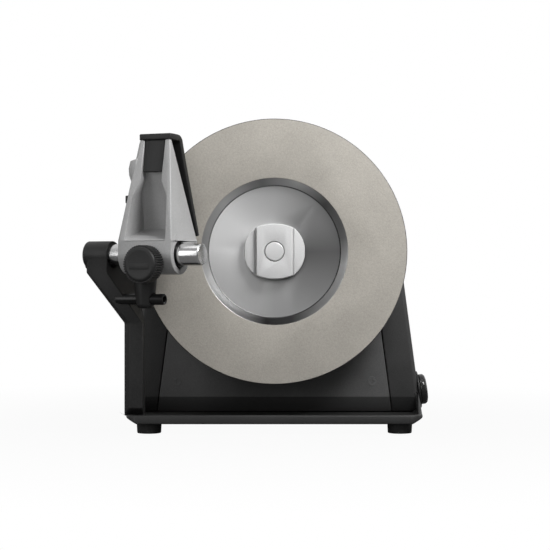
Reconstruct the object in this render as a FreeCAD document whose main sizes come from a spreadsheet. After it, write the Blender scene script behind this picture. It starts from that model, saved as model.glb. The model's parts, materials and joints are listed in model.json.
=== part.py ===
import FreeCAD, Part
import os
import re

import Sketcher
from FreeCAD import Placement, Rotation, Vector

# Bench sharpener with a coated steel wheel, a honing wheel behind and a knife guide in front.
# X runs along the front of the machine, Y along the spindle into the machine, Z up from the floor.
SIZES = {
    # How far a cutting shape passes the face that it cuts
    "overcut": 1.0,
    "long_overcut": 10.0,
    # How close an edge lies to the place where it is looked for
    "near": 0.1,
    # Spindle line and the wheel's front face
    "axis_x": 10.0,
    "axis_z": 134.0,
    "face_y": -59.5,
    # Coated wheel
    "wheel_radius": 100.0,
    "wheel_width": 40.0,
    "coat_depth": 1.2,
    "rim_bevel": 0.5,
    "dish_draft": 3.0,
    "recess_radius": 55.4,
    "recess_floor_radius": 49.8,
    "recess_depth": 9.0,
    "web_depth": 9.0,
    "dish_radius": 84.0,
    "wheel_hub_radius": 24.0,
    # Spindle
    "shaft_radius": 7.2,
    "shaft_fit": 0.05,
    "shaft_front": 2.2,
    "shaft_bevel": 0.6,
    "thread_radius": 6.0,
    "flange_radius": 22.0,
    "flange_depth": 5.4,
    "bush_wall": 4.0,
    "bush_length": 20.0,
    # Lock knob in the wheel's recess
    "lock_radius": 23.1,
    "lock_half_height": 21.0,
    "lock_base_depth": 5.0,
    "lock_grip_depth": 10.8,
    "lock_grip_half_width": 13.5,
    "lock_fit": 0.45,
    "seat_gap": 0.2,
    # Housing
    "wheel_gap": 6.0,
    "housing_depth": 88.0,
    "housing_foot_half": 114.6,
    "housing_top": 172.0,
    "flank_slope": 7.6,
    "housing_wall": 5.0,
    "shoulder_round": 22.0,
    "edge_bevel_wide": 2.4,
    "undercut_top": 21.5,
    "undercut_depth": 4.5,
    # Cover behind the wheel
    "cover_margin": 23.2,
    "cover_top": 160.0,
    "cover_depth": 6.0,
    "cover_gap": 0.7,
    "cover_ledge": 5.0,
    "cover_screw_radius": 3.5,
    "cover_screw_inset": 12.0,
    # Tray base and feet
    "base_bottom": 7.4,
    "floor_top": 9.4,
    "lip_top": 13.8,
    "cheek_top": 25.0,
    "lip_reach": 38.0,
    "front_taper": 5.6,
    "base_wall": 3.4,
    "base_corner": 11.0,
    "hollow_round": 7.0,
    "side_chamfer_wide": 8.0,
    "side_chamfer_high": 4.5,
    "foot_radius": 9.2,
    "foot_inset_side": 16.7,
    "foot_inset_front": 13.0,
    "foot_inset_rear": 16.0,
    "foot_dish_radius": 5.0,
    "foot_dish_depth": 3.2,
    "screw_radius": 2.0,
    "screw_head_radius": 3.8,
    "screw_head_height": 2.2,
    "foot_draft": 0.4,
    # Knife guide frame on its bar
    "guide_inset": 21.4,
    "guide_y": 43.0,
    "bar_z": 131.0,
    "bar_angle": 25.0,
    "bar_radius": 8.0,
    "bar_end": 40.0,
    "bar_bevel": 0.8,
    "rod_radius": 4.0,
    "rod_drop": 32.4,
    "rod_end": 9.0,
    "rod_bevel": 0.6,
    "rod_bore_length": 40.0,
    "rod_anchor": 38.0,
    # Support arm
    "arm_overhang": 1.3,
    "arm_width": 13.9,
    "arm_depth": 24.5,
    "arm_knee": 81.0,
    "saddle_drop": 13.0,
    "arm_bevel_wide": 4.0,
    "arm_bevel_deep": 6.0,
    "boss_left": 54.6,
    "boss_right": 33.7,
    "boss_radius": 10.2,
    "pedestal_setback": 8.0,
    "arm_toe_high": 5.0,
    "arm_toe_deep": 7.0,
    "saddle_fit": 0.96,
    "arm_screw_radius": 2.8,
    "arm_screw_height": 1.5,
    "arm_screw_front": 0.62,
    "arm_screw_back": 0.88,
    # Guide tower, measured from the bar's axis
    "block_half": 22.0,
    "block_front": 14.0,
    "block_back": 26.0,
    "block_low": 12.0,
    "block_high": 10.0,
    "tower_top": 83.6,
    "tower_top_half": 12.5,
    "tower_top_front": 1.5,
    "tower_top_back": 4.2,
    "tower_boss_radius": 14.4,
    "pocket_wall": 8.0,
    "pocket_floor": 9.5,
    "pocket_low_half": 16.5,
    "pocket_mid": 38.0,
    "pocket_mid_half": 14.0,
    "pocket_neck": 48.0,
    "pocket_neck_half": 8.5,
    "neck_open": 66.0,
    "lobe_low": 48.0,
    "lobe_mid": 63.0,
    "lobe_high": 70.0,
    "lobe_out": 19.6,
    "lobe_depth": 9.0,
    "lobe_root": 1.5,
    "lobe_lean": 1.4,
    "lobe_ease": 0.4,
    "lobe_flat": 5.0,
    "stop_low": 42.0,
    "stop_out": 20.4,
    "stop_height": 4.0,
    "stop_depth": 8.0,
    # Clip over the tower
    "clip_half": 13.0,
    "clip_rise": 4.4,
    "tongue_half": 8.1,
    "tongue_low": 60.0,
    "tongue_front": 1.9,
    "tongue_depth": 2.6,
    "leaf_top_in": 15.5,
    "leaf_top_out": 22.0,
    "leaf_low": 14.0,
    "leaf_low_in": 29.5,
    "leaf_low_out": 33.0,
    "slot_round": 4.0,
    "clip_round": 3.8,
    "band_round": 2.0,
    # Guide fittings
    "guide_bush_wall": 1.6,
    "guide_bush_length": 12.0,
    "leg_place": 7.0,
    "leg_top_radius": 9.0,
    "leg_low_radius": 6.6,
    "leg_drop": 39.0,
    "leg_bevel": 2.0,
    "leg_seat": 3.0,
    "knob_place": 3.0,
    "knob_drop": 7.0,
    "knob_radius": 13.8,
    "knob_depth": 13.0,
    "knob_gap": 0.4,
    "knob_ribs": 40,
    "knob_bevel_wide": 1.6,
    "knob_bevel_deep": 1.6,
    "rib_rise": 0.8,
    "rib_front": 1.8,
    "rib_back": 1.0,
    "rib_radius": 0.7,
    "stud_radius": 3.0,
    "stud_reach": 4.5,
    # Power switch on the right flank
    "switch_place": 14.0,
    "switch_height": 26.0,
    "switch_radius": 11.8,
    "switch_rise": 7.4,
    "dome_edge_deep": 2.0,
    "dome_edge_wide": 1.4,
    "dome_crown_deep": 0.6,
    "dome_crown_wide": 3.5,
    "bezel_radius": 14.5,
    "bezel_rise": 1.6,
    "switch_shaft_radius": 3.0,
    "switch_shaft_length": 10.0,
    # Cable gland on the rear wall
    "gland_x": 70.0,
    "gland_z": 32.0,
    "gland_radius": 9.0,
    "gland_length": 8.0,
    "gland_bore": 3.6,
    "gland_wall_fit": 0.1,
    "gland_neck": 0.7,
    # Drive and honing wheel behind the housing
    "rear_gap": 4.0,
    "drive_radius": 72.0,
    "drive_width": 12.0,
    "drive_ring_depth": 5.0,
    "drive_web": 4.0,
    "drive_hub_radius": 20.0,
    "honing_gap": 1.0,
    "honing_width": 30.0,
    "honing_radius": 72.5,
    "honing_cover": 5.0,
    "honing_web": 10.0,
    "honing_hub_radius": 22.0,
    "washer_radius": 20.0,
    "washer_depth": 2.0,
    "nut_half_flat": 9.5,
    "nut_depth": 8.0,
    # Motor inside the housing
    "motor_shift": 24.0,
    "roller_radius": 6.0,
    "roller_clearance": 2.0,
    "drive_gap": 0.3,
    "motor_radius": 38.0,
    "motor_length": 60.0,
    "motor_wall": 2.5,
    "rotor_radius": 18.0,
    "rotor_gap": 0.6,
    "core_length": 34.0,
    "winding_radius": 5.0,
    "motor_shaft_radius": 4.0,
    "fan_radius": 28.0,
    "fan_depth": 6.0,
    "fan_hub_wall": 3.0,
    "fan_root": 2.0,
    "fan_blades": 7,
    "fan_blade_width": 2.0,
}

doc = FreeCAD.newDocument("bench_sharpener")
sheet = doc.addObject("Spreadsheet::Sheet", "dims")
for row, (size_name, size) in enumerate(SIZES.items(), start=1):
    sheet.set(f"A{row}", size_name)
    sheet.set(f"B{row}", str(size))
    sheet.setAlias(f"B{row}", size_name)
doc.recompute()

PARTS = []


def bound(text):
    """The expression with each size written as a cell of the sheet."""
    return re.sub(r"[a-z_]+", lambda m: "dims." + m[0] if m[0] in SIZES else m[0], str(text))


def value(text):
    """The number that an expression gives now."""
    return float(sheet.evalExpression(bound(text)))


def bind(obj, **sizes):
    """Ties properties to the sheet; a double underscore stands for a dot."""
    for name, text in sizes.items():
        obj.setExpression(name.replace("__", "."), bound(text))


def place(obj, x="0", y="0", z="0", tilt="0", about=Vector(0, 0, 1)):
    """Puts a piece at a bound point, turned by a bound angle about a fixed direction."""
    obj.Placement = Placement(Vector(value(x), value(y), value(z)), Rotation(about, value(tilt)))
    bind(obj, Placement__Base__x=x, Placement__Base__y=y, Placement__Base__z=z)
    if value(tilt):
        bind(obj, Placement__Rotation__Angle=tilt)


def keep(obj, label):
    """Names a finished piece and puts it on the list of parts."""
    obj.Label = label
    PARTS.append(obj)
    return obj


def new_body(name):
    return doc.addObject("PartDesign::Body", name + "_body")


def origin_plane(body, role):
    return next(f for f in body.Origin.OriginFeatures if f.Role == role)


def outline(body, plane, corners, height="0"):
    """A closed sketch of straight sides whose corners are each held by two bound distances."""
    sketch = body.newObject("Sketcher::SketchObject", "outline")
    sketch.AttachmentSupport = [(origin_plane(body, plane), "")]
    sketch.MapMode = "FlatFace"
    bind(sketch, AttachmentOffset__Base__z=height)
    points = [Vector(value(x), value(y), 0) for x, y in corners]
    count = len(points)
    for i in range(count):
        sketch.addGeometry(Part.LineSegment(points[i], points[(i + 1) % count]))
    for i in range(count):
        sketch.addConstraint(Sketcher.Constraint("Coincident", i, 2, (i + 1) % count, 1))
    for i, corner in enumerate(corners):
        for kind, text in zip(("DistanceX", "DistanceY"), corner):
            number = sketch.addConstraint(Sketcher.Constraint(kind, -1, 1, i, 1, value(text)))
            sketch.setExpression(f"Constraints[{number}]", bound(text))
    return sketch


def pad(body, plane, corners, start, end, taper=None):
    """Adds the outline's prism between two places along the plane's axis."""
    height = f"-({end})" if plane == "XZ_Plane" else start
    feature = body.newObject("PartDesign::Pad", "pad")
    feature.Profile = outline(body, plane, corners, height)
    bind(feature, Length=f"({end}) - ({start})")
    if taper:
        bind(feature, TaperAngle=taper)
    body.Tip = feature
    return feature


def pocket(body, plane, corners, start, end, taper=None):
    """Cuts the outline's prism between two places along the plane's axis."""
    height = f"-({start})" if plane == "XZ_Plane" else end
    feature = body.newObject("PartDesign::Pocket", "pocket")
    feature.Profile = outline(body, plane, corners, height)
    bind(feature, Length=f"({end}) - ({start})")
    if taper:
        bind(feature, TaperAngle=taper)
    body.Tip = feature
    return feature


def soften(body, kind, size, length_range, x=None, y=None, z=None):
    """Fillets or chamfers the edges of the tip that lie inside a box and have a length in a range."""
    shortest, longest = value(length_range[0]), value(length_range[1])
    doc.recompute()
    base = body.Tip
    names = []
    for number, edge in enumerate(base.Shape.Edges, start=1):
        box = edge.BoundBox
        spans = ((x, box.XMin, box.XMax), (y, box.YMin, box.YMax), (z, box.ZMin, box.ZMax))
        inside = all(s is None or (value(s[0]) <= lo and hi <= value(s[1])) for s, lo, hi in spans)
        if inside and shortest <= edge.Length <= longest:
            names.append(f"Edge{number}")
    feature = body.newObject(f"PartDesign::{kind}", kind.lower())
    feature.Base = (base, names)
    bind(feature, **{"Radius" if kind == "Fillet" else "Size": size})
    body.Tip = feature
    return feature


def turned(name, axis, profile):
    """A turned body: the profile's corners are (along the axis, radius)."""
    body = new_body(name)
    plane = "XZ_Plane" if axis == "Z" else "XY_Plane"
    corners = profile if axis == "X" else [(r, along) for along, r in profile]
    sketch = outline(body, plane, corners)
    feature = body.newObject("PartDesign::Revolution", "turn")
    feature.Profile = sketch
    feature.ReferenceAxis = (sketch, ["H_Axis" if axis == "X" else "V_Axis"])
    feature.Angle = 360
    body.Tip = feature
    return body


def sleeve(name, axis, start, end, outer, inner="0"):
    """A plain cylinder or tube along an axis."""
    return turned(name, axis, [(start, inner), (start, outer), (end, outer), (end, inner)])


def cut(base, tool):
    result = doc.addObject("Part::Cut", "cut")
    result.Base = base
    result.Tool = tool
    return result


def fuse(*shapes):
    result = doc.addObject("Part::MultiFuse", "fuse")
    result.Shapes = list(shapes)
    return result


def ring_of(x, y):
    """Both signs of a place across the middle plane."""
    return [(f"axis_x - ({x})", y), (f"axis_x + ({x})", y)]


# Places worked out from the sizes
PANEL_Y = "face_y + wheel_width + wheel_gap"
BACK_Y = f"{PANEL_Y} + housing_depth"
LIP_Y = "face_y - lip_reach"
BORE = "shaft_radius + shaft_fit"
BUSH_R = "shaft_radius + bush_wall"
DRIVE_Y = f"{BACK_Y} + rear_gap"
HONING_Y = f"{DRIVE_Y} + drive_width + honing_gap"
WASHER_Y = f"{HONING_Y} + honing_width"
NUT_Y = f"{WASHER_Y} + washer_depth"
FRONT_HALF = "(housing_foot_half - front_taper)"
COVER_HALF = "(housing_foot_half - cover_margin)"
FULL_WIDTH = ("axis_x - housing_foot_half - overcut", "axis_x + housing_foot_half + overcut")
FOOT_X = f"({FRONT_HALF} - foot_inset_side)"
ARM_OUTER = f"({FRONT_HALF} + arm_overhang)"
ARM_INNER = f"({ARM_OUTER} - arm_width)"
GUIDE_X = f"axis_x - ({FRONT_HALF} - guide_inset)"
GUIDE_Y = "face_y - guide_y"
CENTRES = "(drive_radius + roller_radius + drive_gap)"
MOTOR_X = "axis_x + motor_shift"
MOTOR_Z = f"axis_z - sqrt({CENTRES} ^ 2 - motor_shift ^ 2)"
MOTOR_END = f"{BACK_Y} - housing_wall"
MOTOR_START = f"{MOTOR_END} - motor_length"


def on_spindle(body, label):
    place(body, "axis_x", "face_y", "axis_z")
    return keep(body, label)


def on_motor(body, label):
    place(body, MOTOR_X, "0", MOTOR_Z)
    return keep(body, label)


def on_guide(obj, label=None):
    place(obj, GUIDE_X, GUIDE_Y, "bar_z", "bar_angle", Vector(0, 0, -1))
    return keep(obj, label) if label else obj


def bar_point(along, across):
    """A point beside the bar, given in the machine's plan."""
    x = f"{GUIDE_X} + ({along}) * cos(bar_angle) + ({across}) * sin(bar_angle)"
    y = f"{GUIDE_Y} - ({along}) * sin(bar_angle) + ({across}) * cos(bar_angle)"
    return x, y


def flank_half(z, foot="housing_foot_half"):
    return f"{foot} - ({z} - floor_top) * tan(flank_slope)"


def mirrored(corners):
    """A whole outline from its right half, listed from the bottom up."""
    right = [(f"axis_x + ({x})", z) for x, z in corners]
    left = [(f"axis_x - ({x})", z) for x, z in reversed(corners)]
    return right + left


def base_tray():
    body = new_body("base_tray")
    plan = [
        (f"axis_x - {FRONT_HALF}", LIP_Y),
        (f"axis_x + {FRONT_HALF}", LIP_Y),
        ("axis_x + housing_foot_half", PANEL_Y),
        ("axis_x + housing_foot_half", BACK_Y),
        ("axis_x - housing_foot_half", BACK_Y),
        ("axis_x - housing_foot_half", PANEL_Y),
    ]
    pad(body, "XY_Plane", plan, "base_bottom", "cheek_top", "-flank_slope")
    pedestal_y = f"{LIP_Y} + base_wall + pedestal_setback"
    pedestal_end = f"{LIP_Y} + base_wall + arm_depth"
    slope = [
        (f"{LIP_Y} - overcut", "lip_top"),
        (pedestal_end, "lip_top"),
        (PANEL_Y, "cheek_top"),
        (PANEL_Y, "cheek_top + overcut"),
        (f"{LIP_Y} - overcut", "cheek_top + overcut"),
    ]
    pocket(body, "YZ_Plane", slope, *FULL_WIDTH)
    soften(body, "Fillet", "base_corner", y=(f"{LIP_Y} - overcut", f"{LIP_Y} + base_wall"),
           length_range=("0.9 * (lip_top - base_bottom)", "1.3 * (lip_top - base_bottom)"))
    for side in (-1, 1):
        edge = f"axis_x + {side} * (housing_foot_half + 1)"
        inner = f"axis_x + {side} * (housing_foot_half - side_chamfer_wide)"
        wedge = [(edge, "base_bottom - overcut"), (inner, "base_bottom - overcut"), (inner, "base_bottom"),
                 (edge, "base_bottom + side_chamfer_high")]
        pocket(body, "XZ_Plane", wedge, f"{LIP_Y} - overcut", f"{BACK_Y} + overcut")
    flare = "front_taper * (base_wall + arm_depth) / (lip_reach + wheel_width + wheel_gap)"
    hollow = [
        (f"axis_x - {FRONT_HALF} + base_wall + hollow_round", f"{LIP_Y} + base_wall"),
        (f"axis_x + {FRONT_HALF} - base_wall - hollow_round", f"{LIP_Y} + base_wall"),
        (f"axis_x + {FRONT_HALF} - base_wall", f"{LIP_Y} + base_wall + hollow_round"),
        ("axis_x + housing_foot_half - base_wall", PANEL_Y),
        ("axis_x - housing_foot_half + base_wall", PANEL_Y),
        (f"axis_x - {FRONT_HALF} + base_wall - ({flare})", pedestal_end),
        (f"axis_x - {ARM_INNER}", pedestal_end),
        (f"axis_x - {ARM_INNER}", pedestal_y),
        (f"axis_x - {FRONT_HALF} + base_wall", pedestal_y),
    ]
    pocket(body, "XY_Plane", hollow, "floor_top", "cheek_top + overcut")
    deck = [
        ("axis_x - housing_foot_half - overcut", PANEL_Y),
        ("axis_x + housing_foot_half + overcut", PANEL_Y),
        ("axis_x + housing_foot_half + overcut", f"{BACK_Y} + overcut"),
        ("axis_x - housing_foot_half - overcut", f"{BACK_Y} + overcut"),
    ]
    pocket(body, "XY_Plane", deck, "floor_top", "cheek_top + overcut")
    keep(body, "base_tray")


def undercut(body):
    """Leans the bottom of a front face inwards, above the tray."""
    wedge = [
        (f"{PANEL_Y} - overcut", "floor_top - overcut"),
        (f"{PANEL_Y} + undercut_depth", "floor_top - overcut"),
        (f"{PANEL_Y} + undercut_depth", "floor_top"),
        (PANEL_Y, "undercut_top"),
        (f"{PANEL_Y} - overcut", "undercut_top"),
    ]
    pocket(body, "YZ_Plane", wedge, *FULL_WIDTH)


def housing():
    body = new_body("housing")
    shell = mirrored([
        ("housing_foot_half", "floor_top"),
        (flank_half("housing_top"), "housing_top"),
    ])
    pad(body, "XZ_Plane", shell, PANEL_Y, BACK_Y)
    soften(body, "Fillet", "shoulder_round", z=("housing_top - near", "housing_top + near"),
           length_range=("housing_depth - near", "housing_depth + near"))
    flank_length = "(housing_top - floor_top) / cos(flank_slope)"
    soften(body, "Chamfer", "edge_bevel_wide", y=(f"{PANEL_Y} - near", f"{PANEL_Y} + near"),
           length_range=("0.5 * (housing_top - floor_top)", f"{flank_length} + overcut"))
    undercut(body)
    recess = mirrored([
        (f"{COVER_HALF} + cover_gap", "floor_top - overcut"),
        (flank_half("cover_top", f"{COVER_HALF} + cover_gap"), "cover_top + cover_gap"),
    ])
    pocket(body, "XZ_Plane", recess, f"{PANEL_Y} - overcut", f"{PANEL_Y} + cover_depth")
    cavity = mirrored([
        (f"{COVER_HALF} - cover_ledge", "undercut_top"),
        (flank_half("cover_top", COVER_HALF) + " - cover_ledge", "cover_top - cover_ledge"),
    ])
    pocket(body, "XZ_Plane", cavity, PANEL_Y, MOTOR_END)
    boss = sleeve("rear_boss", "Y", f"{BACK_Y} - bush_length", BACK_Y, f"{BUSH_R} + housing_wall")
    place(boss, "axis_x", "0", "axis_z")
    bore = sleeve("rear_bore", "Y", f"{BACK_Y} - bush_length - overcut", f"{BACK_Y} + overcut",
                  f"{BUSH_R} + shaft_fit")
    place(bore, "axis_x", "0", "axis_z")
    rear_wall = (f"{MOTOR_END} - overcut", f"{BACK_Y} + overcut")
    roller_hole = sleeve("roller_hole", "Y", *rear_wall, "roller_radius + roller_clearance")
    place(roller_hole, MOTOR_X, "0", MOTOR_Z)
    gland_hole = sleeve("gland_hole", "Y", *rear_wall, "gland_radius * gland_neck + gland_wall_fit")
    place(gland_hole, "axis_x - gland_x", "0", "gland_z")
    shaped = cut(fuse(body, boss), fuse(bore, roller_hole, gland_hole))
    keep(cut(shaped, switch_well()), "housing")


def switch_frame(body):
    """Puts a body whose X axis is the switch's axis on the right flank."""
    place(body, f"axis_x + {flank_half('switch_height')}", f"{PANEL_Y} + switch_place", "switch_height",
          "flank_slope", Vector(0, -1, 0))
    return body


def switch_well():
    return switch_frame(sleeve("switch_well", "X", "-switch_shaft_length - overcut", "1",
                               "switch_shaft_radius + shaft_fit"))


def wheel_side_cover():
    body = new_body("cover")
    plate = mirrored([
        (COVER_HALF, "floor_top + seat_gap"),
        (flank_half("cover_top", COVER_HALF), "cover_top"),
    ])
    pad(body, "XZ_Plane", plate, PANEL_Y, f"{PANEL_Y} + cover_depth")
    undercut(body)
    boss = sleeve("cover_boss", "Y", PANEL_Y, f"{PANEL_Y} + bush_length", f"{BUSH_R} + housing_wall")
    place(boss, "axis_x", "0", "axis_z")
    bore = sleeve("cover_bore", "Y", f"{PANEL_Y} - overcut", f"{PANEL_Y} + bush_length + overcut",
                  f"{BUSH_R} + shaft_fit")
    place(bore, "axis_x", "0", "axis_z")
    keep(cut(fuse(body, boss), bore), "wheel_side_cover")


def group(label, pieces):
    """Separate like solids in one node."""
    compound = doc.addObject("Part::Compound", label + "_group")
    compound.Links = pieces
    return keep(compound, label)


def cover_screws():
    heads = []
    for z in ("undercut_top + cover_screw_inset", "cover_top - cover_screw_inset"):
        reach = flank_half(z, COVER_HALF) + " - cover_screw_inset"
        for x, _ in ring_of(reach, z):
            head = sleeve("cover_screw", "Y", "-screw_head_height", "0", "cover_screw_radius")
            place(head, x, PANEL_Y, z)
            heads.append(head)
    group("cover_screws", heads)


def feet():
    places = {
        "foot_front_left": (f"axis_x - {FOOT_X}", f"{LIP_Y} + foot_inset_front"),
        "foot_front_right": (f"axis_x + {FOOT_X}", f"{LIP_Y} + foot_inset_front"),
        "foot_rear_left": (f"axis_x - {FOOT_X}", f"{BACK_Y} - foot_inset_rear"),
        "foot_rear_right": (f"axis_x + {FOOT_X}", f"{BACK_Y} - foot_inset_rear"),
    }
    screws = []
    for label, (x, y) in places.items():
        foot = turned(label, "Z", [
            ("base_bottom", "screw_radius + shaft_fit"),
            ("base_bottom", "foot_radius"),
            ("0", "foot_radius - foot_draft"),
            ("0", "foot_dish_radius"),
            ("foot_dish_depth", "foot_dish_radius"),
            ("foot_dish_depth", "screw_radius + shaft_fit"),
        ])
        place(foot, x, y, "0")
        keep(foot, label)
        screw = turned("foot_screw", "Z", [
            ("foot_dish_depth - screw_head_height", "0"),
            ("foot_dish_depth - screw_head_height", "screw_head_radius"),
            ("foot_dish_depth", "screw_head_radius"),
            ("foot_dish_depth", "screw_radius"),
            ("base_bottom", "screw_radius"),
            ("base_bottom", "0"),
        ])
        place(screw, x, y, "0")
        screws.append(screw)
    group("foot_screws", screws)


def support_arm():
    """A post on the tray that leans out to the boss of the guide bar."""
    front = f"{LIP_Y} + base_wall"
    back = f"{LIP_Y} + base_wall + arm_depth"
    post = [
        (f"axis_x - {ARM_OUTER}", f"{front} + arm_bevel_deep"),
        (f"axis_x - {ARM_OUTER} + arm_bevel_wide", front),
        (f"axis_x - {ARM_INNER}", front),
        (f"axis_x - {ARM_INNER}", back),
        (f"axis_x - {ARM_OUTER}", back),
    ]
    half = "boss_radius * saddle_fit"
    saddle = [
        bar_point("-boss_left", f"-{half} + arm_bevel_deep"),
        bar_point("-boss_left + arm_bevel_wide", f"-{half}"),
        bar_point("-boss_right", f"-{half}"),
        bar_point("-boss_right", half),
        bar_point("-boss_left", half),
    ]
    body = new_body("arm")
    levels = ((post, "lip_top"), (post, "arm_knee"), (saddle, "bar_z - saddle_drop"), (saddle, "bar_z"))
    sections = [outline(body, "XY_Plane", plan, height) for plan, height in levels]
    loft = body.newObject("PartDesign::AdditiveLoft", "loft")
    loft.Profile = sections[0]
    loft.Sections = sections[1:]
    loft.Ruled = True
    body.Tip = loft
    toe = [
        (f"{front} - overcut", "lip_top - overcut"),
        (f"{front} + arm_toe_deep", "lip_top - overcut"),
        (f"{front} + arm_toe_deep", "lip_top"),
        (front, "lip_top + arm_toe_high"),
        (f"{front} - overcut", "lip_top + arm_toe_high"),
    ]
    pocket(body, "YZ_Plane", toe, f"axis_x - {ARM_OUTER} - overcut", f"axis_x - {ARM_INNER} + overcut")
    boss = on_guide(sleeve("arm_boss", "X", "-boss_left", "-boss_right", "boss_radius"))
    bore = on_guide(sleeve("arm_bore", "X", "-boss_left + housing_wall", "-boss_right + overcut",
                           "bar_radius + shaft_fit"))
    hole = sleeve("rod_hole", "X", "-rod_anchor - shaft_fit", "-boss_right + rod_bore_length",
                  "rod_radius + shaft_fit")
    place(hole, GUIDE_X, GUIDE_Y, "bar_z - rod_drop", "bar_angle", Vector(0, 0, -1))
    keep(cut(fuse(body, boss), fuse(bore, hole)), "support_arm")


def bar_and_rod():
    bar = turned("bar", "X", [
        ("-boss_left + housing_wall", "0"),
        ("-boss_left + housing_wall", "bar_radius"),
        ("bar_end - bar_bevel", "bar_radius"),
        ("bar_end", "bar_radius - bar_bevel"),
        ("bar_end", "0"),
    ])
    on_guide(bar, "guide_bar")
    rod = turned("rod", "X", [
        ("-rod_anchor", "0"),
        ("-rod_anchor", "rod_radius"),
        ("rod_end - rod_bevel", "rod_radius"),
        ("rod_end", "rod_radius - rod_bevel"),
        ("rod_end", "0"),
    ])
    place(rod, GUIDE_X, GUIDE_Y, "bar_z - rod_drop", "bar_angle", Vector(0, 0, -1))
    keep(rod, "guide_rod")


def guide_tower():
    """The cast tower: a tapering wedge with a bottle-shaped pocket cut square to its sloping back."""
    body = new_body("tower")
    block = [("-block_half", "-block_front"), ("block_half", "-block_front"),
             ("block_half", "block_back"), ("-block_half", "block_back")]
    crown = [("-tower_top_half", "tower_top_front"), ("tower_top_half", "tower_top_front"),
             ("tower_top_half", "tower_top_back"), ("-tower_top_half", "tower_top_back")]
    levels = ((block, "-block_low"), (block, "block_high"), (crown, "tower_top"))
    sections = [outline(body, "XY_Plane", plan, height) for plan, height in levels]
    loft = body.newObject("PartDesign::AdditiveLoft", "loft")
    loft.Profile = sections[0]
    loft.Sections = sections[1:]
    loft.Ruled = True
    body.Tip = loft
    lean = "(block_half - tower_top_half) / (tower_top - block_high)"
    flank = {z: f"-(block_half - ({z} - block_high) * {lean}) + lobe_root" for z in ("lobe_low", "lobe_high")}
    lobe = [
        (flank["lobe_low"], "lobe_low"),
        (flank["lobe_high"], "lobe_high"),
        ("-lobe_out + lobe_lean", "lobe_high - lobe_root"),
        ("-lobe_out", "lobe_mid"),
        ("-lobe_out + lobe_ease", "lobe_mid - lobe_flat"),
    ]
    pad(body, "XZ_Plane", lobe, "-tongue_front - overcut", "-tongue_front - 1 + lobe_depth")
    bottle = [
        ("-pocket_low_half", "pocket_floor"),
        ("pocket_low_half", "pocket_floor"),
        ("pocket_mid_half", "pocket_mid"),
        ("pocket_neck_half", "pocket_neck"),
        ("pocket_neck_half", "tower_top + long_overcut"),
        ("-pocket_neck_half", "tower_top + long_overcut"),
        ("-pocket_neck_half", "pocket_neck"),
        ("-pocket_mid_half", "pocket_mid"),
    ]
    sketch = outline(body, "XZ_Plane", bottle, "-(block_back - pocket_wall)")
    back_lean = "atan((block_back - tower_top_back) / (tower_top - block_high))"
    sketch.AttachmentOffset = Placement(Vector(0, value("block_high"), value("-(block_back - pocket_wall)")),
                                        Rotation(Vector(1, 0, 0), value(back_lean)))
    bind(sketch, AttachmentOffset__Base__y="block_high", AttachmentOffset__Rotation__Angle=back_lean)
    hollow = body.newObject("PartDesign::Pocket", "hollow")
    hollow.Profile = sketch
    hollow.Reversed = True
    bind(hollow, Length="block_back + block_front + 2 * long_overcut")
    body.Tip = hollow
    neck = [("-pocket_neck_half", "neck_open"), ("pocket_neck_half", "neck_open"),
            ("pocket_neck_half", "tower_top + overcut"), ("-pocket_neck_half", "tower_top + overcut")]
    pocket(body, "XZ_Plane", neck, "-block_front - overcut", "block_back + overcut")
    boss = sleeve("tower_boss", "X", "-block_half", "block_half", "tower_boss_radius")
    bore = sleeve("tower_bore", "X", "-block_half - overcut", "block_half + overcut",
                  "bar_radius + guide_bush_wall + shaft_fit")
    stud = sleeve("stud_hole", "Y", "-block_front - overcut", "0", "stud_radius + shaft_fit")
    place(stud, "knob_place", "0", "-knob_drop")
    tower = cut(fuse(body, boss), fuse(bore, stud))
    on_guide(tower, "guide_tower")


def blade_clip():
    """A hairpin band over the tower's crown with a sprung leaf behind it."""
    body = new_body("clip")
    top = "tower_top + clip_rise"
    band = [
        ("tower_top_front", "tower_top"),
        ("leaf_top_in", "tower_top"),
        ("leaf_low_in", "leaf_low"),
        ("leaf_low_out", "leaf_low"),
        ("leaf_top_out", "tower_top"),
        ("leaf_top_out - overcut", top),
        ("tower_top_front", top),
    ]
    pad(body, "YZ_Plane", band, "-clip_half", "clip_half")
    across = ("2 * clip_half - near", "2 * clip_half + near")
    soften(body, "Fillet", "clip_round", across, y=("leaf_top_out - overcut - near", "leaf_top_out - overcut + near"))
    soften(body, "Fillet", "slot_round", across, y=("leaf_top_in - near", "leaf_top_in + near"))
    soften(body, "Fillet", "band_round", across, y=("tower_top_front - near", "tower_top_front + near"),
           z=(f"{top} - near", f"{top} + near"))
    tongue = [
        ("-tongue_front", "tongue_low"),
        ("-tongue_front + tongue_depth", "tongue_low"),
        ("tower_top_front + tongue_depth + overcut", "tower_top"),
        ("tower_top_front + overcut", "tower_top"),
    ]
    pad(body, "YZ_Plane", tongue, "-tongue_half", "tongue_half")
    on_guide(body, "blade_clip")


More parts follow.
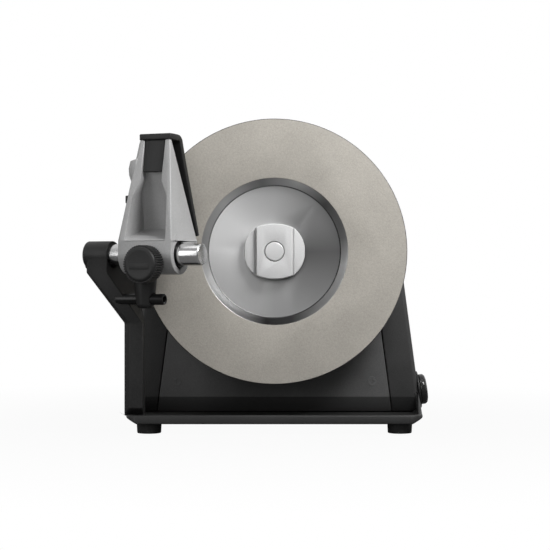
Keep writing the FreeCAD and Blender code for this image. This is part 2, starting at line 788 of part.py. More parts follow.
def guide_fittings():
    starts = {"bar_bush_left": "-block_half", "bar_bush_right": "block_half - guide_bush_length"}
    for label, start in starts.items():
        bush = sleeve(label, "X", start, f"{start} + guide_bush_length", "bar_radius + guide_bush_wall",
                      "bar_radius + shaft_fit")
        on_guide(bush, label)
    leg = turned("leg", "Z", [
        ("-tower_boss_radius + leg_seat", "0"),
        ("-tower_boss_radius + leg_seat", "leg_top_radius"),
        ("-leg_drop + leg_bevel", "leg_low_radius"),
        ("-leg_drop", "leg_low_radius - leg_bevel"),
        ("-leg_drop", "0"),
    ])
    place(leg, "-leg_place", "0", "0")
    saddle = sleeve("leg_saddle", "X", "-block_half", "block_half", "tower_boss_radius + shaft_fit")
    hole = sleeve("leg_hole", "X", "-block_half", "block_half", "rod_radius + shaft_fit")
    place(hole, "0", "0", "-rod_drop")
    on_guide(cut(leg, fuse(saddle, hole)), "guide_leg")
    stop = new_body("stop")
    lean = "(block_half - tower_top_half) / (tower_top - block_high)"
    top = "stop_low + stop_height"
    flank = {z: f"-(block_half - ({z} - block_high) * {lean})" for z in ("stop_low", top)}
    tip = [("-stop_out", "stop_low"), (flank["stop_low"], "stop_low"), (flank[top], top), ("-stop_out", top)]
    pad(stop, "XZ_Plane", tip, "-stop_depth / 2", "stop_depth / 2")
    on_guide(stop, "stop_pad")


def clamp_knob():
    """A knurled hand knob on a stud that presses towards the bar."""
    knob = turned("knob", "Y", [
        ("-block_front - knob_gap - knob_depth", "0"),
        ("-block_front - knob_gap - knob_depth", "knob_radius - rib_rise - knob_bevel_wide"),
        ("-block_front - knob_gap - knob_depth + knob_bevel_deep", "knob_radius - rib_rise"),
        ("-block_front - knob_gap", "knob_radius - rib_rise"),
        ("-block_front - knob_gap", "stud_radius"),
        ("-block_front + stud_reach", "stud_radius"),
        ("-block_front + stud_reach", "0"),
    ])
    place(knob, "knob_place", "0", "-knob_drop")
    turn = doc.addObject("Part::MultiFuse", "knob_shape")
    ribs = []
    for i in range(int(value("knob_ribs"))):
        rib = sleeve("knob_rib", "Y", "-block_front - knob_gap - knob_depth + rib_front",
                     "-block_front - knob_gap - rib_back", "rib_radius")
        angle = f"360 * {i} / knob_ribs"
        place(rib, f"knob_place + (knob_radius - rib_radius) * cos({angle})", "0",
              f"-knob_drop + (knob_radius - rib_radius) * sin({angle})")
        ribs.append(rib)
    turn.Shapes = [knob] + ribs
    on_guide(turn, "clamp_knob")


def wheel():
    core = turned("wheel_core", "Y", [
        ("recess_depth", BORE),
        ("recess_depth", "recess_floor_radius"),
        ("coat_depth", "recess_radius"),
        ("coat_depth", "wheel_radius"),
        ("wheel_width", "wheel_radius"),
        ("wheel_width", "dish_radius"),
        ("recess_depth + web_depth", "dish_radius - dish_draft"),
        ("recess_depth + web_depth", "wheel_hub_radius"),
        ("wheel_width", "wheel_hub_radius"),
        ("wheel_width", BORE),
    ])
    on_spindle(core, "wheel_core")
    ring = turned("diamond_ring", "Y", [
        ("0", "recess_radius"),
        ("0", "wheel_radius - rim_bevel"),
        ("rim_bevel", "wheel_radius"),
        ("coat_depth", "wheel_radius"),
        ("coat_depth", "recess_radius"),
    ])
    on_spindle(ring, "diamond_ring")
    flange = sleeve("wheel_flange", "Y", "wheel_width", "wheel_width + flange_depth", "flange_radius", BORE)
    on_spindle(flange, "wheel_flange")


def main_shaft():
    rel = {name: f"({y}) - face_y" for name, y in (("washer", WASHER_Y), ("nut", NUT_Y))}
    shaft = turned("shaft", "Y", [
        ("-shaft_front", "0"),
        ("-shaft_front", "shaft_radius - shaft_bevel"),
        ("-shaft_front + shaft_bevel", "shaft_radius"),
        (rel["washer"], "shaft_radius"),
        (rel["washer"], "thread_radius"),
        (f"{rel['nut']} + nut_depth + overcut", "thread_radius"),
        (f"{rel['nut']} + nut_depth + overcut", "0"),
    ])
    on_spindle(shaft, "main_shaft")
    for label, start in (("front_bush", PANEL_Y), ("rear_bush", f"{BACK_Y} - bush_length")):
        bush = sleeve(label, "Y", start, f"{start} + bush_length", BUSH_R, BORE)
        place(bush, "axis_x", "0", "axis_z")
        keep(bush, label)


def wheel_lock_knob():
    """A quarter-turn lock: a round base with two flats and a raised grip across it."""
    seat = "recess_depth - seat_gap"
    base = sleeve("lock_base", "Y", f"{seat} - lock_base_depth", seat, "lock_radius")
    grip = sleeve("lock_grip", "Y", f"{seat} - lock_grip_depth", seat, "lock_radius")
    flats = doc.addObject("Part::Box", "lock_flats")
    bind(flats, Length="2 * lock_radius", Width="lock_grip_depth", Height="2 * lock_half_height")
    place(flats, "-lock_radius", f"{seat} - lock_grip_depth", "-lock_half_height")
    bar = doc.addObject("Part::Box", "lock_bar")
    bind(bar, Length="2 * lock_grip_half_width", Width="lock_grip_depth", Height="2 * lock_half_height")
    place(bar, "-lock_grip_half_width", f"{seat} - lock_grip_depth", "-lock_half_height")
    low = doc.addObject("Part::Common", "lock_low")
    low.Base = base
    low.Tool = flats
    high = doc.addObject("Part::Common", "lock_high")
    high.Base = grip
    high.Tool = bar
    bore = sleeve("lock_bore", "Y", "-lock_grip_depth - overcut", "recess_depth + overcut",
                  "shaft_radius + lock_fit")
    on_spindle(cut(fuse(low, high), bore), "wheel_lock_knob")


def drive():
    start = DRIVE_Y
    rim = "drive_radius - drive_ring_depth"
    middle = f"{start} + drive_width / 2"
    wheel_body = turned("drive_wheel", "Y", [
        (start, BORE),
        (start, "drive_hub_radius"),
        (f"{middle} - drive_web / 2", "drive_hub_radius"),
        (f"{middle} - drive_web / 2", f"{rim} - drive_web"),
        (start, f"{rim} - drive_web"),
        (start, rim),
        (f"{start} + drive_width", rim),
        (f"{start} + drive_width", f"{rim} - drive_web"),
        (f"{middle} + drive_web / 2", f"{rim} - drive_web"),
        (f"{middle} + drive_web / 2", "drive_hub_radius"),
        (f"{start} + drive_width + honing_gap", "drive_hub_radius"),
        (f"{start} + drive_width + honing_gap", BORE),
    ])
    place(wheel_body, "axis_x", "0", "axis_z")
    keep(wheel_body, "drive_wheel")
    ring = sleeve("drive_ring", "Y", start, f"{start} + drive_width", "drive_radius", rim)
    place(ring, "axis_x", "0", "axis_z")
    keep(ring, "drive_ring")
    core_r = "honing_radius - honing_cover"
    core = turned("honing_core", "Y", [
        (HONING_Y, BORE),
        (HONING_Y, core_r),
        (WASHER_Y, core_r),
        (WASHER_Y, f"{core_r} - honing_web"),
        (f"{HONING_Y} + honing_web", f"{core_r} - honing_web"),
        (f"{HONING_Y} + honing_web", "honing_hub_radius"),
        (WASHER_Y, "honing_hub_radius"),
        (WASHER_Y, BORE),
    ])
    place(core, "axis_x", "0", "axis_z")
    keep(core, "honing_core")
    tyre = sleeve("honing_tyre", "Y", HONING_Y, WASHER_Y, "honing_radius", core_r)
    place(tyre, "axis_x", "0", "axis_z")
    keep(tyre, "honing_tyre")
    washer = sleeve("honing_washer", "Y", WASHER_Y, NUT_Y, "washer_radius", "thread_radius + shaft_fit")
    place(washer, "axis_x", "0", "axis_z")
    keep(washer, "honing_washer")
    nut = new_body("honing_nut")
    corner = "nut_half_flat / cos(30)"
    hexagon = [(f"{corner} * cos({60 * i})", f"{corner} * sin({60 * i})") for i in range(6)]
    pad(nut, "XZ_Plane", hexagon, NUT_Y, f"{NUT_Y} + nut_depth")
    hole = sleeve("nut_hole", "Y", f"{NUT_Y} - overcut", f"{NUT_Y} + nut_depth + overcut",
                  "thread_radius + shaft_fit")
    nut_cut = cut(nut, hole)
    place(nut_cut, "axis_x", "0", "axis_z")
    keep(nut_cut, "honing_nut")


def motor():
    core_start = f"{MOTOR_START} + (motor_length - core_length) / 2"
    core_end = f"{core_start} + core_length"
    bore = "motor_shaft_radius + shaft_fit"
    case = turned("motor_case", "Y", [
        (MOTOR_START, bore),
        (MOTOR_START, "motor_radius"),
        (MOTOR_END, "motor_radius"),
        (MOTOR_END, bore),
        (f"{MOTOR_END} - motor_wall", bore),
        (f"{MOTOR_END} - motor_wall", "motor_radius - motor_wall"),
        (f"{MOTOR_START} + motor_wall", "motor_radius - motor_wall"),
        (f"{MOTOR_START} + motor_wall", bore),
    ])
    on_motor(case, "motor_case")
    stator = sleeve("stator", "Y", core_start, core_end, "motor_radius - motor_wall",
                    "rotor_radius + rotor_gap")
    on_motor(stator, "stator_core")
    coils = []
    middle = "(motor_radius - motor_wall + rotor_radius + rotor_gap) / 2"
    for start in (core_end, f"{core_start} - winding_radius"):
        coil = sleeve("coil", "Y", start, f"{start} + winding_radius", f"{middle} + winding_radius",
                      f"{middle} - winding_radius")
        place(coil, MOTOR_X, "0", MOTOR_Z)
        coils.append(coil)
    group("stator_winding", coils)
    rotor = sleeve("rotor", "Y", core_start, core_end, "rotor_radius", bore)
    on_motor(rotor, "rotor_core")
    shaft = sleeve("motor_shaft", "Y", f"{MOTOR_START} - fan_depth - fan_root", f"{DRIVE_Y} + drive_width",
                   "motor_shaft_radius")
    on_motor(shaft, "motor_shaft")
    roller = sleeve("roller", "Y", DRIVE_Y, f"{DRIVE_Y} + drive_width", "roller_radius", bore)
    on_motor(roller, "drive_roller")
    fan_start = f"{MOTOR_START} - fan_depth - overcut"
    hub = sleeve("fan_hub", "Y", fan_start, f"{fan_start} + fan_depth", "motor_shaft_radius + fan_hub_wall", bore)
    blades = []
    for i in range(int(value("fan_blades"))):
        blade = doc.addObject("Part::Box", "fan_blade")
        bind(blade, Length="fan_radius - motor_shaft_radius - fan_root", Width="fan_depth", Height="fan_blade_width")
        base = Placement(Vector(0, 0, 0), Rotation(Vector(0, 1, 0), 360 * i / value("fan_blades")))
        reach = base.multVec(Vector(value("motor_shaft_radius + fan_root"), 0, value("-fan_blade_width / 2")))
        blade.Placement = Placement(reach + Vector(0, value(fan_start), 0), base.Rotation)
        bind(blade, Placement__Base__y=fan_start)
        blades.append(blade)
    on_motor(fuse(hub, *blades), "motor_fan")


def power_switch():
    bezel = switch_frame(sleeve("bezel", "X", "0", "bezel_rise", "bezel_radius",
                                "switch_shaft_radius + shaft_fit"))
    keep(bezel, "switch_bezel")
    knob = switch_frame(turned("switch", "X", [
        ("-switch_shaft_length", "0"),
        ("-switch_shaft_length", "switch_shaft_radius"),
        ("bezel_rise + seat_gap", "switch_shaft_radius"),
        ("bezel_rise + seat_gap", "switch_radius"),
        ("switch_rise - dome_edge_deep", "switch_radius"),
        ("switch_rise - dome_crown_deep", "switch_radius - dome_edge_wide"),
        ("switch_rise", "switch_radius - dome_crown_wide"),
        ("switch_rise", "0"),
    ]))
    keep(knob, "switch_knob")


def cable_gland():
    gland = turned("gland", "Y", [
        (f"{BACK_Y} - housing_wall", "0"),
        (f"{BACK_Y} - housing_wall", "gland_radius * gland_neck"),
        (BACK_Y, "gland_radius * gland_neck"),
        (BACK_Y, "gland_radius"),
        (f"{BACK_Y} + gland_length - overcut", "gland_radius"),
        (f"{BACK_Y} + gland_length", "gland_radius - overcut"),
        (f"{BACK_Y} + gland_length", "gland_bore"),
        (f"{BACK_Y} - overcut", "gland_bore"),
        (f"{BACK_Y} - overcut", "0"),
    ])
    place(gland, "axis_x - gland_x", "0", "gland_z")
    keep(gland, "cable_gland")


def arm_screws():
    screws = []
    middle_x = f"axis_x - ({ARM_OUTER} + {ARM_INNER}) / 2"
    for share in ("arm_screw_front", "arm_screw_back"):
        y = f"{LIP_Y} + base_wall + arm_depth * {share}"
        screw = sleeve("arm_screw", "Z", "base_bottom - arm_screw_height", "base_bottom", "arm_screw_radius")
        place(screw, middle_x, y, "0")
        screws.append(screw)
    group("arm_screws", screws)


base_tray()
housing()
wheel_side_cover()
cover_screws()
feet()
support_arm()
arm_screws()
bar_and_rod()
guide_tower()
blade_clip()
guide_fittings()
clamp_knob()
wheel()
main_shaft()
wheel_lock_knob()
drive()
motor()
power_switch()
cable_gland()
doc.recompute()

for obj in doc.Objects:
    if "Invalid" in obj.State or "Error" in obj.State:
        raise RuntimeError(f"{obj.Name} failed: {obj.State}")
for part in PARTS:
    if part.Shape.isNull() or not part.Shape.isValid():
        raise RuntimeError(f"{part.Label} has no valid shape")
os.makedirs("parts", exist_ok=True)
for part in PARTS:
    part.Shape.exportStep(f"parts/{part.Label}.step")
    box = part.Shape.BoundBox
    print(part.Label, len(part.Shape.Solids), round(part.Shape.Volume), box)
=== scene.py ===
import json
import math

import bmesh
import bpy
from mathutils import Matrix, Vector


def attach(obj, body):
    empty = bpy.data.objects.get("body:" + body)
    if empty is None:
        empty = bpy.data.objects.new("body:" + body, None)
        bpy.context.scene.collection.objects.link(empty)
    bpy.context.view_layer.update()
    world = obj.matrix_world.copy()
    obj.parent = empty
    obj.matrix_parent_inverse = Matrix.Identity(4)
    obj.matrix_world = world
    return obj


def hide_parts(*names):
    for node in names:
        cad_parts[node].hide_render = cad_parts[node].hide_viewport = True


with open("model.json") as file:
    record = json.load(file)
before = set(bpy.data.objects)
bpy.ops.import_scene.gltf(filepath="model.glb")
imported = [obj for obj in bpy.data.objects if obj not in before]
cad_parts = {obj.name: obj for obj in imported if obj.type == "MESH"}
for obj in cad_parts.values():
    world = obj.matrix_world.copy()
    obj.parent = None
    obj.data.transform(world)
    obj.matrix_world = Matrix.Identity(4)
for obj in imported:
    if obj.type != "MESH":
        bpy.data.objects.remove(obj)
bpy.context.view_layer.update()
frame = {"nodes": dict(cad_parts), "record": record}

# Bench sharpener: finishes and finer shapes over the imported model.
# Shapes are written in mm and brought to metres with MM; camera, lights and floor are in metres.
MM = 0.001
AXIS = Vector((10.0, 0.0, 134.0)) * MM  # on the spindle, which runs along Y
GUIDE = Vector((-77.6, -102.5, 131.0)) * MM  # middle of the guide, on the bar's axis
BAR_ANGLE = math.radians(25.0)
ALONG_BAR = Vector((math.cos(BAR_ANGLE), -math.sin(BAR_ANGLE), 0.0))
INTO_GUIDE = Vector((math.sin(BAR_ANGLE), math.cos(BAR_ANGLE), 0.0))
UP = Vector((0.0, 0.0, 1.0))

# Marks that the finishes follow
RIM_SHADE_RADIUS = 99.45  # a dark band of painted shade along the wheel's edge starts here
CONE_FOOT = 50.0  # the sloping wall of the wheel's recess starts here
CREASE_SHADE_HALF = 0.45  # half the width of the line of painted shade in the crease along the foot of that wall
FOOT_TOP = 21.5  # housing and cover are darker below this height: painted shade on the undercut at their foot
FOOT_FADE = (-0.4, 0.2)  # where that band of painted shade fades out, from its top
MOTTLE = 30.0  # width of the broad mottling on grained surfaces
FINE_SHARE, BROAD_SHARE = 0.6, 0.4  # of grain and mottling in their tone

# Painted sheen round the spindle as (share of a turn, level): painted reflections on the recess's floor and
# its wall, and painted shade in the line between them
PAINTED_FLOOR_SHEEN = (
    (0.0, 1.0), (0.10, 0.70), (0.25, 0.36), (0.38, 0.22), (0.50, 0.14),
    (0.62, 0.30), (0.75, 0.72), (0.90, 1.0), (1.0, 1.0),
)
PAINTED_WALL_SHEEN = (
    (0.0, 0.35), (0.06, 0.72), (0.15, 0.42), (0.23, 0.04), (0.29, 0.10), (0.36, 0.50), (0.47, 0.95),
    (0.53, 0.30), (0.62, 0.12), (0.70, 0.42), (0.78, 0.16), (0.88, 0.55), (1.0, 0.35),
)
PAINTED_CREASE_SHADE = ((0.0, 0.25), (0.5, 0.03), (1.0, 0.25))


# Shader helpers
def grey(level):
    return (level, level, level)


def feed(tree, socket, term):
    """Sets a number on a socket, or links an output to it."""
    if isinstance(term, (int, float)):
        socket.default_value = term
    else:
        tree.links.new(term, socket)


def new_finish(name):
    """A material with its shader and the Object coordinates it reads."""
    material = bpy.data.materials.new(name)
    material.use_nodes = True
    tree = material.node_tree
    shader = tree.nodes["Principled BSDF"]
    place = tree.nodes.new("ShaderNodeTexCoord").outputs["Object"]
    return material, tree, shader, place


def moved(tree, place, centre, stretch=(1, 1, 1)):
    """Coordinates measured from a centre, stretched along each axis."""
    shift = tree.nodes.new("ShaderNodeVectorMath")
    shift.operation = "SUBTRACT"
    shift.inputs[1].default_value = centre
    tree.links.new(place, shift.inputs[0])
    scale = tree.nodes.new("ShaderNodeVectorMath")
    scale.operation = "MULTIPLY"
    scale.inputs[1].default_value = stretch
    tree.links.new(shift.outputs[0], scale.inputs[0])
    return scale.outputs[0]


def length_of(tree, vector):
    """How long a vector is."""
    node = tree.nodes.new("ShaderNodeVectorMath")
    node.operation = "LENGTH"
    tree.links.new(vector, node.inputs[0])
    return node.outputs["Value"]


def axes_of(tree, vector):
    """The X, Y and Z of a vector."""
    node = tree.nodes.new("ShaderNodeSeparateXYZ")
    tree.links.new(vector, node.inputs[0])
    return node.outputs


def grain(tree, place, size_mm, detail=3.0, rough=0.55):
    """Noise whose lumps are about this wide."""
    noise = tree.nodes.new("ShaderNodeTexNoise")
    noise.inputs["Scale"].default_value = 1.0 / (size_mm * MM)
    noise.inputs["Detail"].default_value = detail
    noise.inputs["Roughness"].default_value = rough
    tree.links.new(place, noise.inputs["Vector"])
    return noise.outputs["Fac"]


def tones(tree, factor, stops):
    """A colour ramp; stops are (place, colour)."""
    ramp = tree.nodes.new("ShaderNodeValToRGB")
    elements = ramp.color_ramp.elements
    elements.remove(elements[1])
    elements[0].position = stops[0][0]
    elements[0].color = (*stops[0][1], 1.0)
    for at, colour in stops[1:]:
        elements.new(at).color = (*colour, 1.0)
    tree.links.new(factor, ramp.inputs["Fac"])
    return ramp.outputs["Color"]


def greys(tree, factor, stops):
    """A ramp of greys; stops are (place, level)."""
    return tones(tree, factor, [(at, grey(level)) for at, level in stops])


def spread(tree, factor, low, high, start=0.3, end=0.7):
    """The factor's range from start to end turned into a range of values."""
    node = tree.nodes.new("ShaderNodeMapRange")
    for name, number in (("From Min", start), ("From Max", end), ("To Min", low), ("To Max", high)):
        node.inputs[name].default_value = number
    tree.links.new(factor, node.inputs["Value"])
    return node.outputs["Result"]


def sums(tree, operation, *terms):
    """A sum, product or test of numbers and outputs."""
    node = tree.nodes.new("ShaderNodeMath")
    node.operation = operation
    for socket, term in zip(node.inputs, terms):
        feed(tree, socket, term)
    return node.outputs[0]


def blend_colours(tree, mode, factor, first, second):
    """Two colours mixed or multiplied by a factor."""
    node = tree.nodes.new("ShaderNodeMix")
    node.data_type = "RGBA"
    node.blend_type = mode
    feed(tree, node.inputs[0], factor)
    tree.links.new(first, node.inputs[6])
    tree.links.new(second, node.inputs[7])
    return node.outputs[2]


def either(tree, factor, first, second):
    """One shader where the factor is 0, the other where it is 1."""
    node = tree.nodes.new("ShaderNodeMixShader")
    for socket, term in zip(node.inputs, (factor, first, second)):
        tree.links.new(term, socket)
    return node.outputs[0]


def relief(tree, shader, height, depth_mm, strength=1.0):
    """Fine unevenness of this depth on the shader's surface."""
    bump = tree.nodes.new("ShaderNodeBump")
    bump.inputs["Distance"].default_value = depth_mm * MM
    bump.inputs["Strength"].default_value = strength
    tree.links.new(height, bump.inputs["Height"])
    tree.links.new(bump.outputs["Normal"], shader.inputs["Normal"])


def spindle_radius(tree, place):
    """How far a point lies from the spindle's axis."""
    return length_of(tree, moved(tree, place, AXIS, (1, 0, 1)))


# Finishes
def grained(name, dark, light, size_mm, rough, depth_mm, metal=0.0, specular=0.5, painted_foot_shade=None):
    """A moulded, cast or coated surface: fine grain, broad mottling and uneven gloss, and painted shade
    along the foot where a level for it is given."""
    material, tree, shader, place = new_finish(name)
    fine = grain(tree, place, size_mm)
    broad = grain(tree, place, MOTTLE, detail=2.0)
    shares = [sums(tree, "MULTIPLY", fine, FINE_SHARE), sums(tree, "MULTIPLY", broad, BROAD_SHARE)]
    mixed = sums(tree, "ADD", *shares)
    colour = tones(tree, mixed, ((0.35, dark), (0.65, light)))
    # painted shade: the colour is darker below FOOT_TOP, where the undercut at the foot lies in shadow
    if painted_foot_shade is not None:
        start, end = ((FOOT_TOP + step) * MM for step in FOOT_FADE)
        above = spread(tree, axes_of(tree, place)["Z"], 0.0, 1.0, start, end)
        shade = greys(tree, above, ((0.0, painted_foot_shade), (1.0, 1.0)))
        colour = blend_colours(tree, "MULTIPLY", 1.0, colour, shade)
    tree.links.new(colour, shader.inputs["Base Color"])
    tree.links.new(spread(tree, mixed, *rough), shader.inputs["Roughness"])
    shader.inputs["Metallic"].default_value = metal
    shader.inputs["Specular IOR Level"].default_value = specular
    relief(tree, shader, fine, depth_mm)
    return material, tree, shader, place


def ground_steel(name, dark, light, rough, along, stretch):
    """Ground steel with fine scratches along one direction."""
    material, tree, shader, place = new_finish(name)
    turned = tree.nodes.new("ShaderNodeMapping")
    turned.inputs["Rotation"].default_value = along
    turned.inputs["Scale"].default_value = stretch
    tree.links.new(place, turned.inputs["Vector"])
    fine = grain(tree, turned.outputs[0], 1.0)
    tree.links.new(greys(tree, fine, ((0.3, dark), (0.7, light))), shader.inputs["Base Color"])
    tree.links.new(spread(tree, fine, *rough), shader.inputs["Roughness"])
    shader.inputs["Metallic"].default_value = 1.0
    relief(tree, shader, fine, 0.004, strength=0.5)
    return material


def diamond_coat():
    """Nickel-bonded grit: sharp beige grains, some darker, with a painted glint at the middle of each, on a
    matt ground; the rim is painted dark as shade along the wheel's edge.
    """
    grit_mm, grain_mm, drift_mm = 0.75, 1.3, 22.0
    material, tree, shader, place = new_finish("diamond_coat")
    cells = tree.nodes.new("ShaderNodeTexVoronoi")
    cells.inputs["Scale"].default_value = 1.0 / (grit_mm * MM)
    tree.links.new(place, cells.inputs["Vector"])
    grit = cells.outputs["Distance"]
    fine = grain(tree, place, grain_mm, detail=4.0, rough=0.7)
    broad = grain(tree, place, drift_mm, detail=2.0)
    ground = tones(tree, fine, ((0.3, (0.40, 0.375, 0.335)), (0.7, (0.50, 0.475, 0.43))))
    drift = greys(tree, broad, ((0.3, 0.92), (0.7, 1.0)))
    # painted glint: the middle of each grain is lighter
    painted_glint = tones(tree, grit, ((0.0, (1.0, 0.99, 0.97)), (0.55, grey(0.9))))
    coated = blend_colours(tree, "MULTIPLY", 1.0, blend_colours(tree, "MULTIPLY", 1.0, ground, drift), painted_glint)
    # painted shade: a dark band round the wheel's edge
    rim = sums(tree, "GREATER_THAN", spindle_radius(tree, place), RIM_SHADE_RADIUS * MM)
    painted_rim_shade = greys(tree, fine, ((0.3, 0.05), (0.7, 0.10)))
    tree.links.new(blend_colours(tree, "MIX", rim, coated, painted_rim_shade), shader.inputs["Base Color"])
    tree.links.new(spread(tree, fine, 0.5, 0.72), shader.inputs["Roughness"])
    shader.inputs["Specular IOR Level"].default_value = 0.35
    height = sums(tree, "ADD", fine, sums(tree, "MULTIPLY", grit, -0.6))
    relief(tree, shader, height, 0.12, strength=0.7)
    return material


def turned_steel():
    """Lathe-turned steel: fine rings about the spindle, a painted sheen that fans round it, and painted
    shade in the crease at the foot of the recess's wall.
    """
    ring_mm = 1.6
    material, tree, shader, place = new_finish("turned_steel")
    local = moved(tree, place, AXIS)
    wave = tree.nodes.new("ShaderNodeTexWave")
    wave.wave_type = "RINGS"
    wave.rings_direction = "Y"
    wave.inputs["Scale"].default_value = 1.0 / (ring_mm * MM)
    wave.inputs["Distortion"].default_value = 0.4
    wave.inputs["Detail"].default_value = 2.0
    tree.links.new(local, wave.inputs["Vector"])
    rings = wave.outputs["Fac"]
    parts = axes_of(tree, local)
    turn = sums(tree, "ARCTAN2", parts["Z"], parts["X"])
    sweep = sums(tree, "ADD", sums(tree, "DIVIDE", turn, 2.0 * math.pi), 0.5)
    radius = spindle_radius(tree, place)
    wall = sums(tree, "GREATER_THAN", radius, CONE_FOOT * MM)
    crease_shade_mask = sums(tree, "COMPARE", radius, CONE_FOOT * MM, CREASE_SHADE_HALF * MM)
    # painted sheen: the floor's and the wall's brightness round the turn is light and shade put into the
    # base colour
    sheen = blend_colours(tree, "MIX", wall, greys(tree, sweep, PAINTED_FLOOR_SHEEN), greys(tree, sweep, PAINTED_WALL_SHEEN))
    # painted shade: a thin dark line in the crease at the wall's foot, darkest on the right of the turn
    sheen = blend_colours(tree, "MIX", crease_shade_mask, sheen, greys(tree, sweep, PAINTED_CREASE_SHADE))
    lines = greys(tree, rings, ((0.0, 0.90), (1.0, 1.0)))
    tree.links.new(blend_colours(tree, "MULTIPLY", 1.0, sheen, lines), shader.inputs["Base Color"])
    tree.links.new(spread(tree, rings, 0.32, 0.42, 0.0, 1.0), shader.inputs["Roughness"])
    shader.inputs["Metallic"].default_value = 0.82
    shader.inputs["Anisotropic"].default_value = 0.4
    tangent = tree.nodes.new("ShaderNodeTangent")
    tangent.direction_type = "RADIAL"
    tangent.axis = "Y"
    tree.links.new(tangent.outputs[0], shader.inputs["Tangent"])
    relief(tree, shader, rings, 0.006, strength=0.5)
    return material


# Material, darkest and lightest colour, grain in mm, range of roughness, relief in mm, the rest
GRAINED = {
    "black_casting": (
        "black_casting_coat", grey(0.009), grey(0.019), 0.9, (0.42, 0.58), 0.09, {"specular": 0.4}),
    # the housing and the cover below carry painted shade along their foot
    "black_housing": (
        "black_housing_shell", grey(0.036), grey(0.058), 0.8, (0.42, 0.58), 0.07, {"painted_foot_shade": 0.35}),
    "cover_plastic": (
        "cover_moulding", grey(0.085), grey(0.120), 0.7, (0.44, 0.60), 0.06, {"painted_foot_shade": 0.30}),
    "rubber": ("foot_rubber", grey(0.009), grey(0.018), 0.6, (0.65, 0.82), 0.05, {"specular": 0.3}),
    "black_rod": ("blackened_steel", grey(0.006), grey(0.016), 0.5, (0.24, 0.36), 0.02, {"metal": 0.5}),
    "guide_casting": ("die_cast_alloy", grey(0.33), grey(0.43), 0.8, (0.42, 0.58), 0.07, {"metal": 0.15}),
    "grip_plastic": (
        "grip_moulding", grey(0.008), grey(0.018), 0.6, (0.40, 0.54), 0.05, {"specular": 0.35}),
    "lock_plastic": ("lock_moulding", grey(0.62), grey(0.70), 0.7, (0.34, 0.46), 0.03, {}),
    "switch_plastic": ("switch_gloss", grey(0.010), grey(0.018), 1.5, (0.12, 0.20), 0.01, {}),
    "bronze": (
        "bush_bronze", (0.35, 0.20, 0.08), (0.50, 0.31, 0.13), 0.8, (0.3, 0.45), 0.02, {"metal": 1.0}),
    "drive_plastic": ("drive_moulding", grey(0.05), grey(0.085), 0.7, (0.4, 0.55), 0.04, {}),
    "honing_compound": (
        "honing_leather", (0.20, 0.105, 0.05), (0.34, 0.19, 0.095), 1.2, (0.6, 0.8), 0.15, {}),
    "motor_metal": ("motor_zinc", grey(0.30), grey(0.42), 2.0, (0.35, 0.5), 0.02, {"metal": 0.9}),
    "copper": (
        "winding_copper", (0.55, 0.22, 0.09), (0.72, 0.34, 0.16), 0.5, (0.28, 0.4), 0.05, {"metal": 1.0}),
    "satin_steel": ("satin_steel", grey(0.70), grey(0.78), 0.25, (0.34, 0.42), 0.004, {"metal": 0.25}),
}
FINISHES = {slot: grained(*look, **more)[0] for slot, (*look, more) in GRAINED.items()}
FINISHES.update({
    "steel": ground_steel("machined_steel", 0.42, 0.58, (0.22, 0.38), (0, 0, 0), (0.4, 1.6, 0.4)),
    "polished_steel": ground_steel(
        "polished_bar", 0.62, 0.74, (0.16, 0.26), (0, 0, BAR_ANGLE), (0.15, 2.5, 2.5)),
    "diamond": diamond_coat(),
    "turned_steel": turned_steel(),
})

# Each node's body, its slot, and its finish where that isn't the slot's own
BODY_OF = {node: body for body, nodes in frame["record"]["behaviour"]["bodies"].items() for node in nodes}
OTHER_SLOT = "steel"
SLOT_OF = {
    "base_tray": "black_casting", "support_arm": "black_casting", "housing": "black_housing",
    "wheel_side_cover": "cover_plastic", "cover_screws": "black_rod", "arm_screws": "black_rod",
    "guide_rod": "black_rod", "foot_front_left": "rubber", "foot_front_right": "rubber",
    "foot_rear_left": "rubber", "foot_rear_right": "rubber", "drive_ring": "rubber",
    "front_bush": "bronze", "rear_bush": "bronze", "cable_gland": "grip_plastic",
    "switch_bezel": "grip_plastic", "blade_clip": "grip_plastic", "guide_leg": "grip_plastic",
    "bar_bush_left": "grip_plastic", "bar_bush_right": "grip_plastic", "stop_pad": "grip_plastic",
    "clamp_knob": "grip_plastic", "guide_bar": "polished_steel", "motor_case": "motor_metal",
    "stator_winding": "copper", "diamond_ring": "diamond", "drive_wheel": "drive_plastic",
    "honing_core": "drive_plastic", "motor_fan": "drive_plastic", "honing_tyre": "honing_compound",
    "wheel_lock_knob": "lock_plastic", "guide_tower": "guide_casting", "switch_knob": "switch_plastic",
}
FINISH_OF = {"wheel_core": "turned_steel", "main_shaft": "satin_steel", "cover_screws": "cover_plastic"}

# Mesh helpers
WELD = 0.002  # points of a CAD mesh this close are one
FLAT_ANGLE = 0.6  # degrees between faces that count as one flat face
SHARP_ANGLE = 38.0  # degrees from which an edge is shaded sharp
SLIVER = 0.05  # edges shorter than this are left out of a cleaned mesh


def linked(name, data):
    """A new object in the scene."""
    thing = bpy.data.objects.new(name, data)
    bpy.context.scene.collection.objects.link(thing)
    return thing


def put(node, mesh):
    """A finished piece for a CAD node: it rides on the node's body and takes the finish of the node's slot,
    or the finish given for the node.
    """
    slot = SLOT_OF.get(node, OTHER_SLOT)
    piece = linked(node + "_finished", mesh)
    mesh.materials.clear()
    mesh.materials.append(FINISHES[FINISH_OF.get(node, slot)])
    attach(piece, BODY_OF[node])
    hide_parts(node)


def smooth(mesh):
    """The mesh shaded smooth between its sharp edges."""
    for face in mesh.polygons:
        face.use_smooth = True
    mesh.set_sharp_from_angle(angle=math.radians(SHARP_ANGLE))
    return mesh


def welded(node):
    """A CAD node's mesh as a bmesh with its points joined."""
    shape = bmesh.new()
    shape.from_mesh(frame["nodes"][node].data)
    bmesh.ops.remove_doubles(shape, verts=shape.verts, dist=WELD * MM)
    return shape


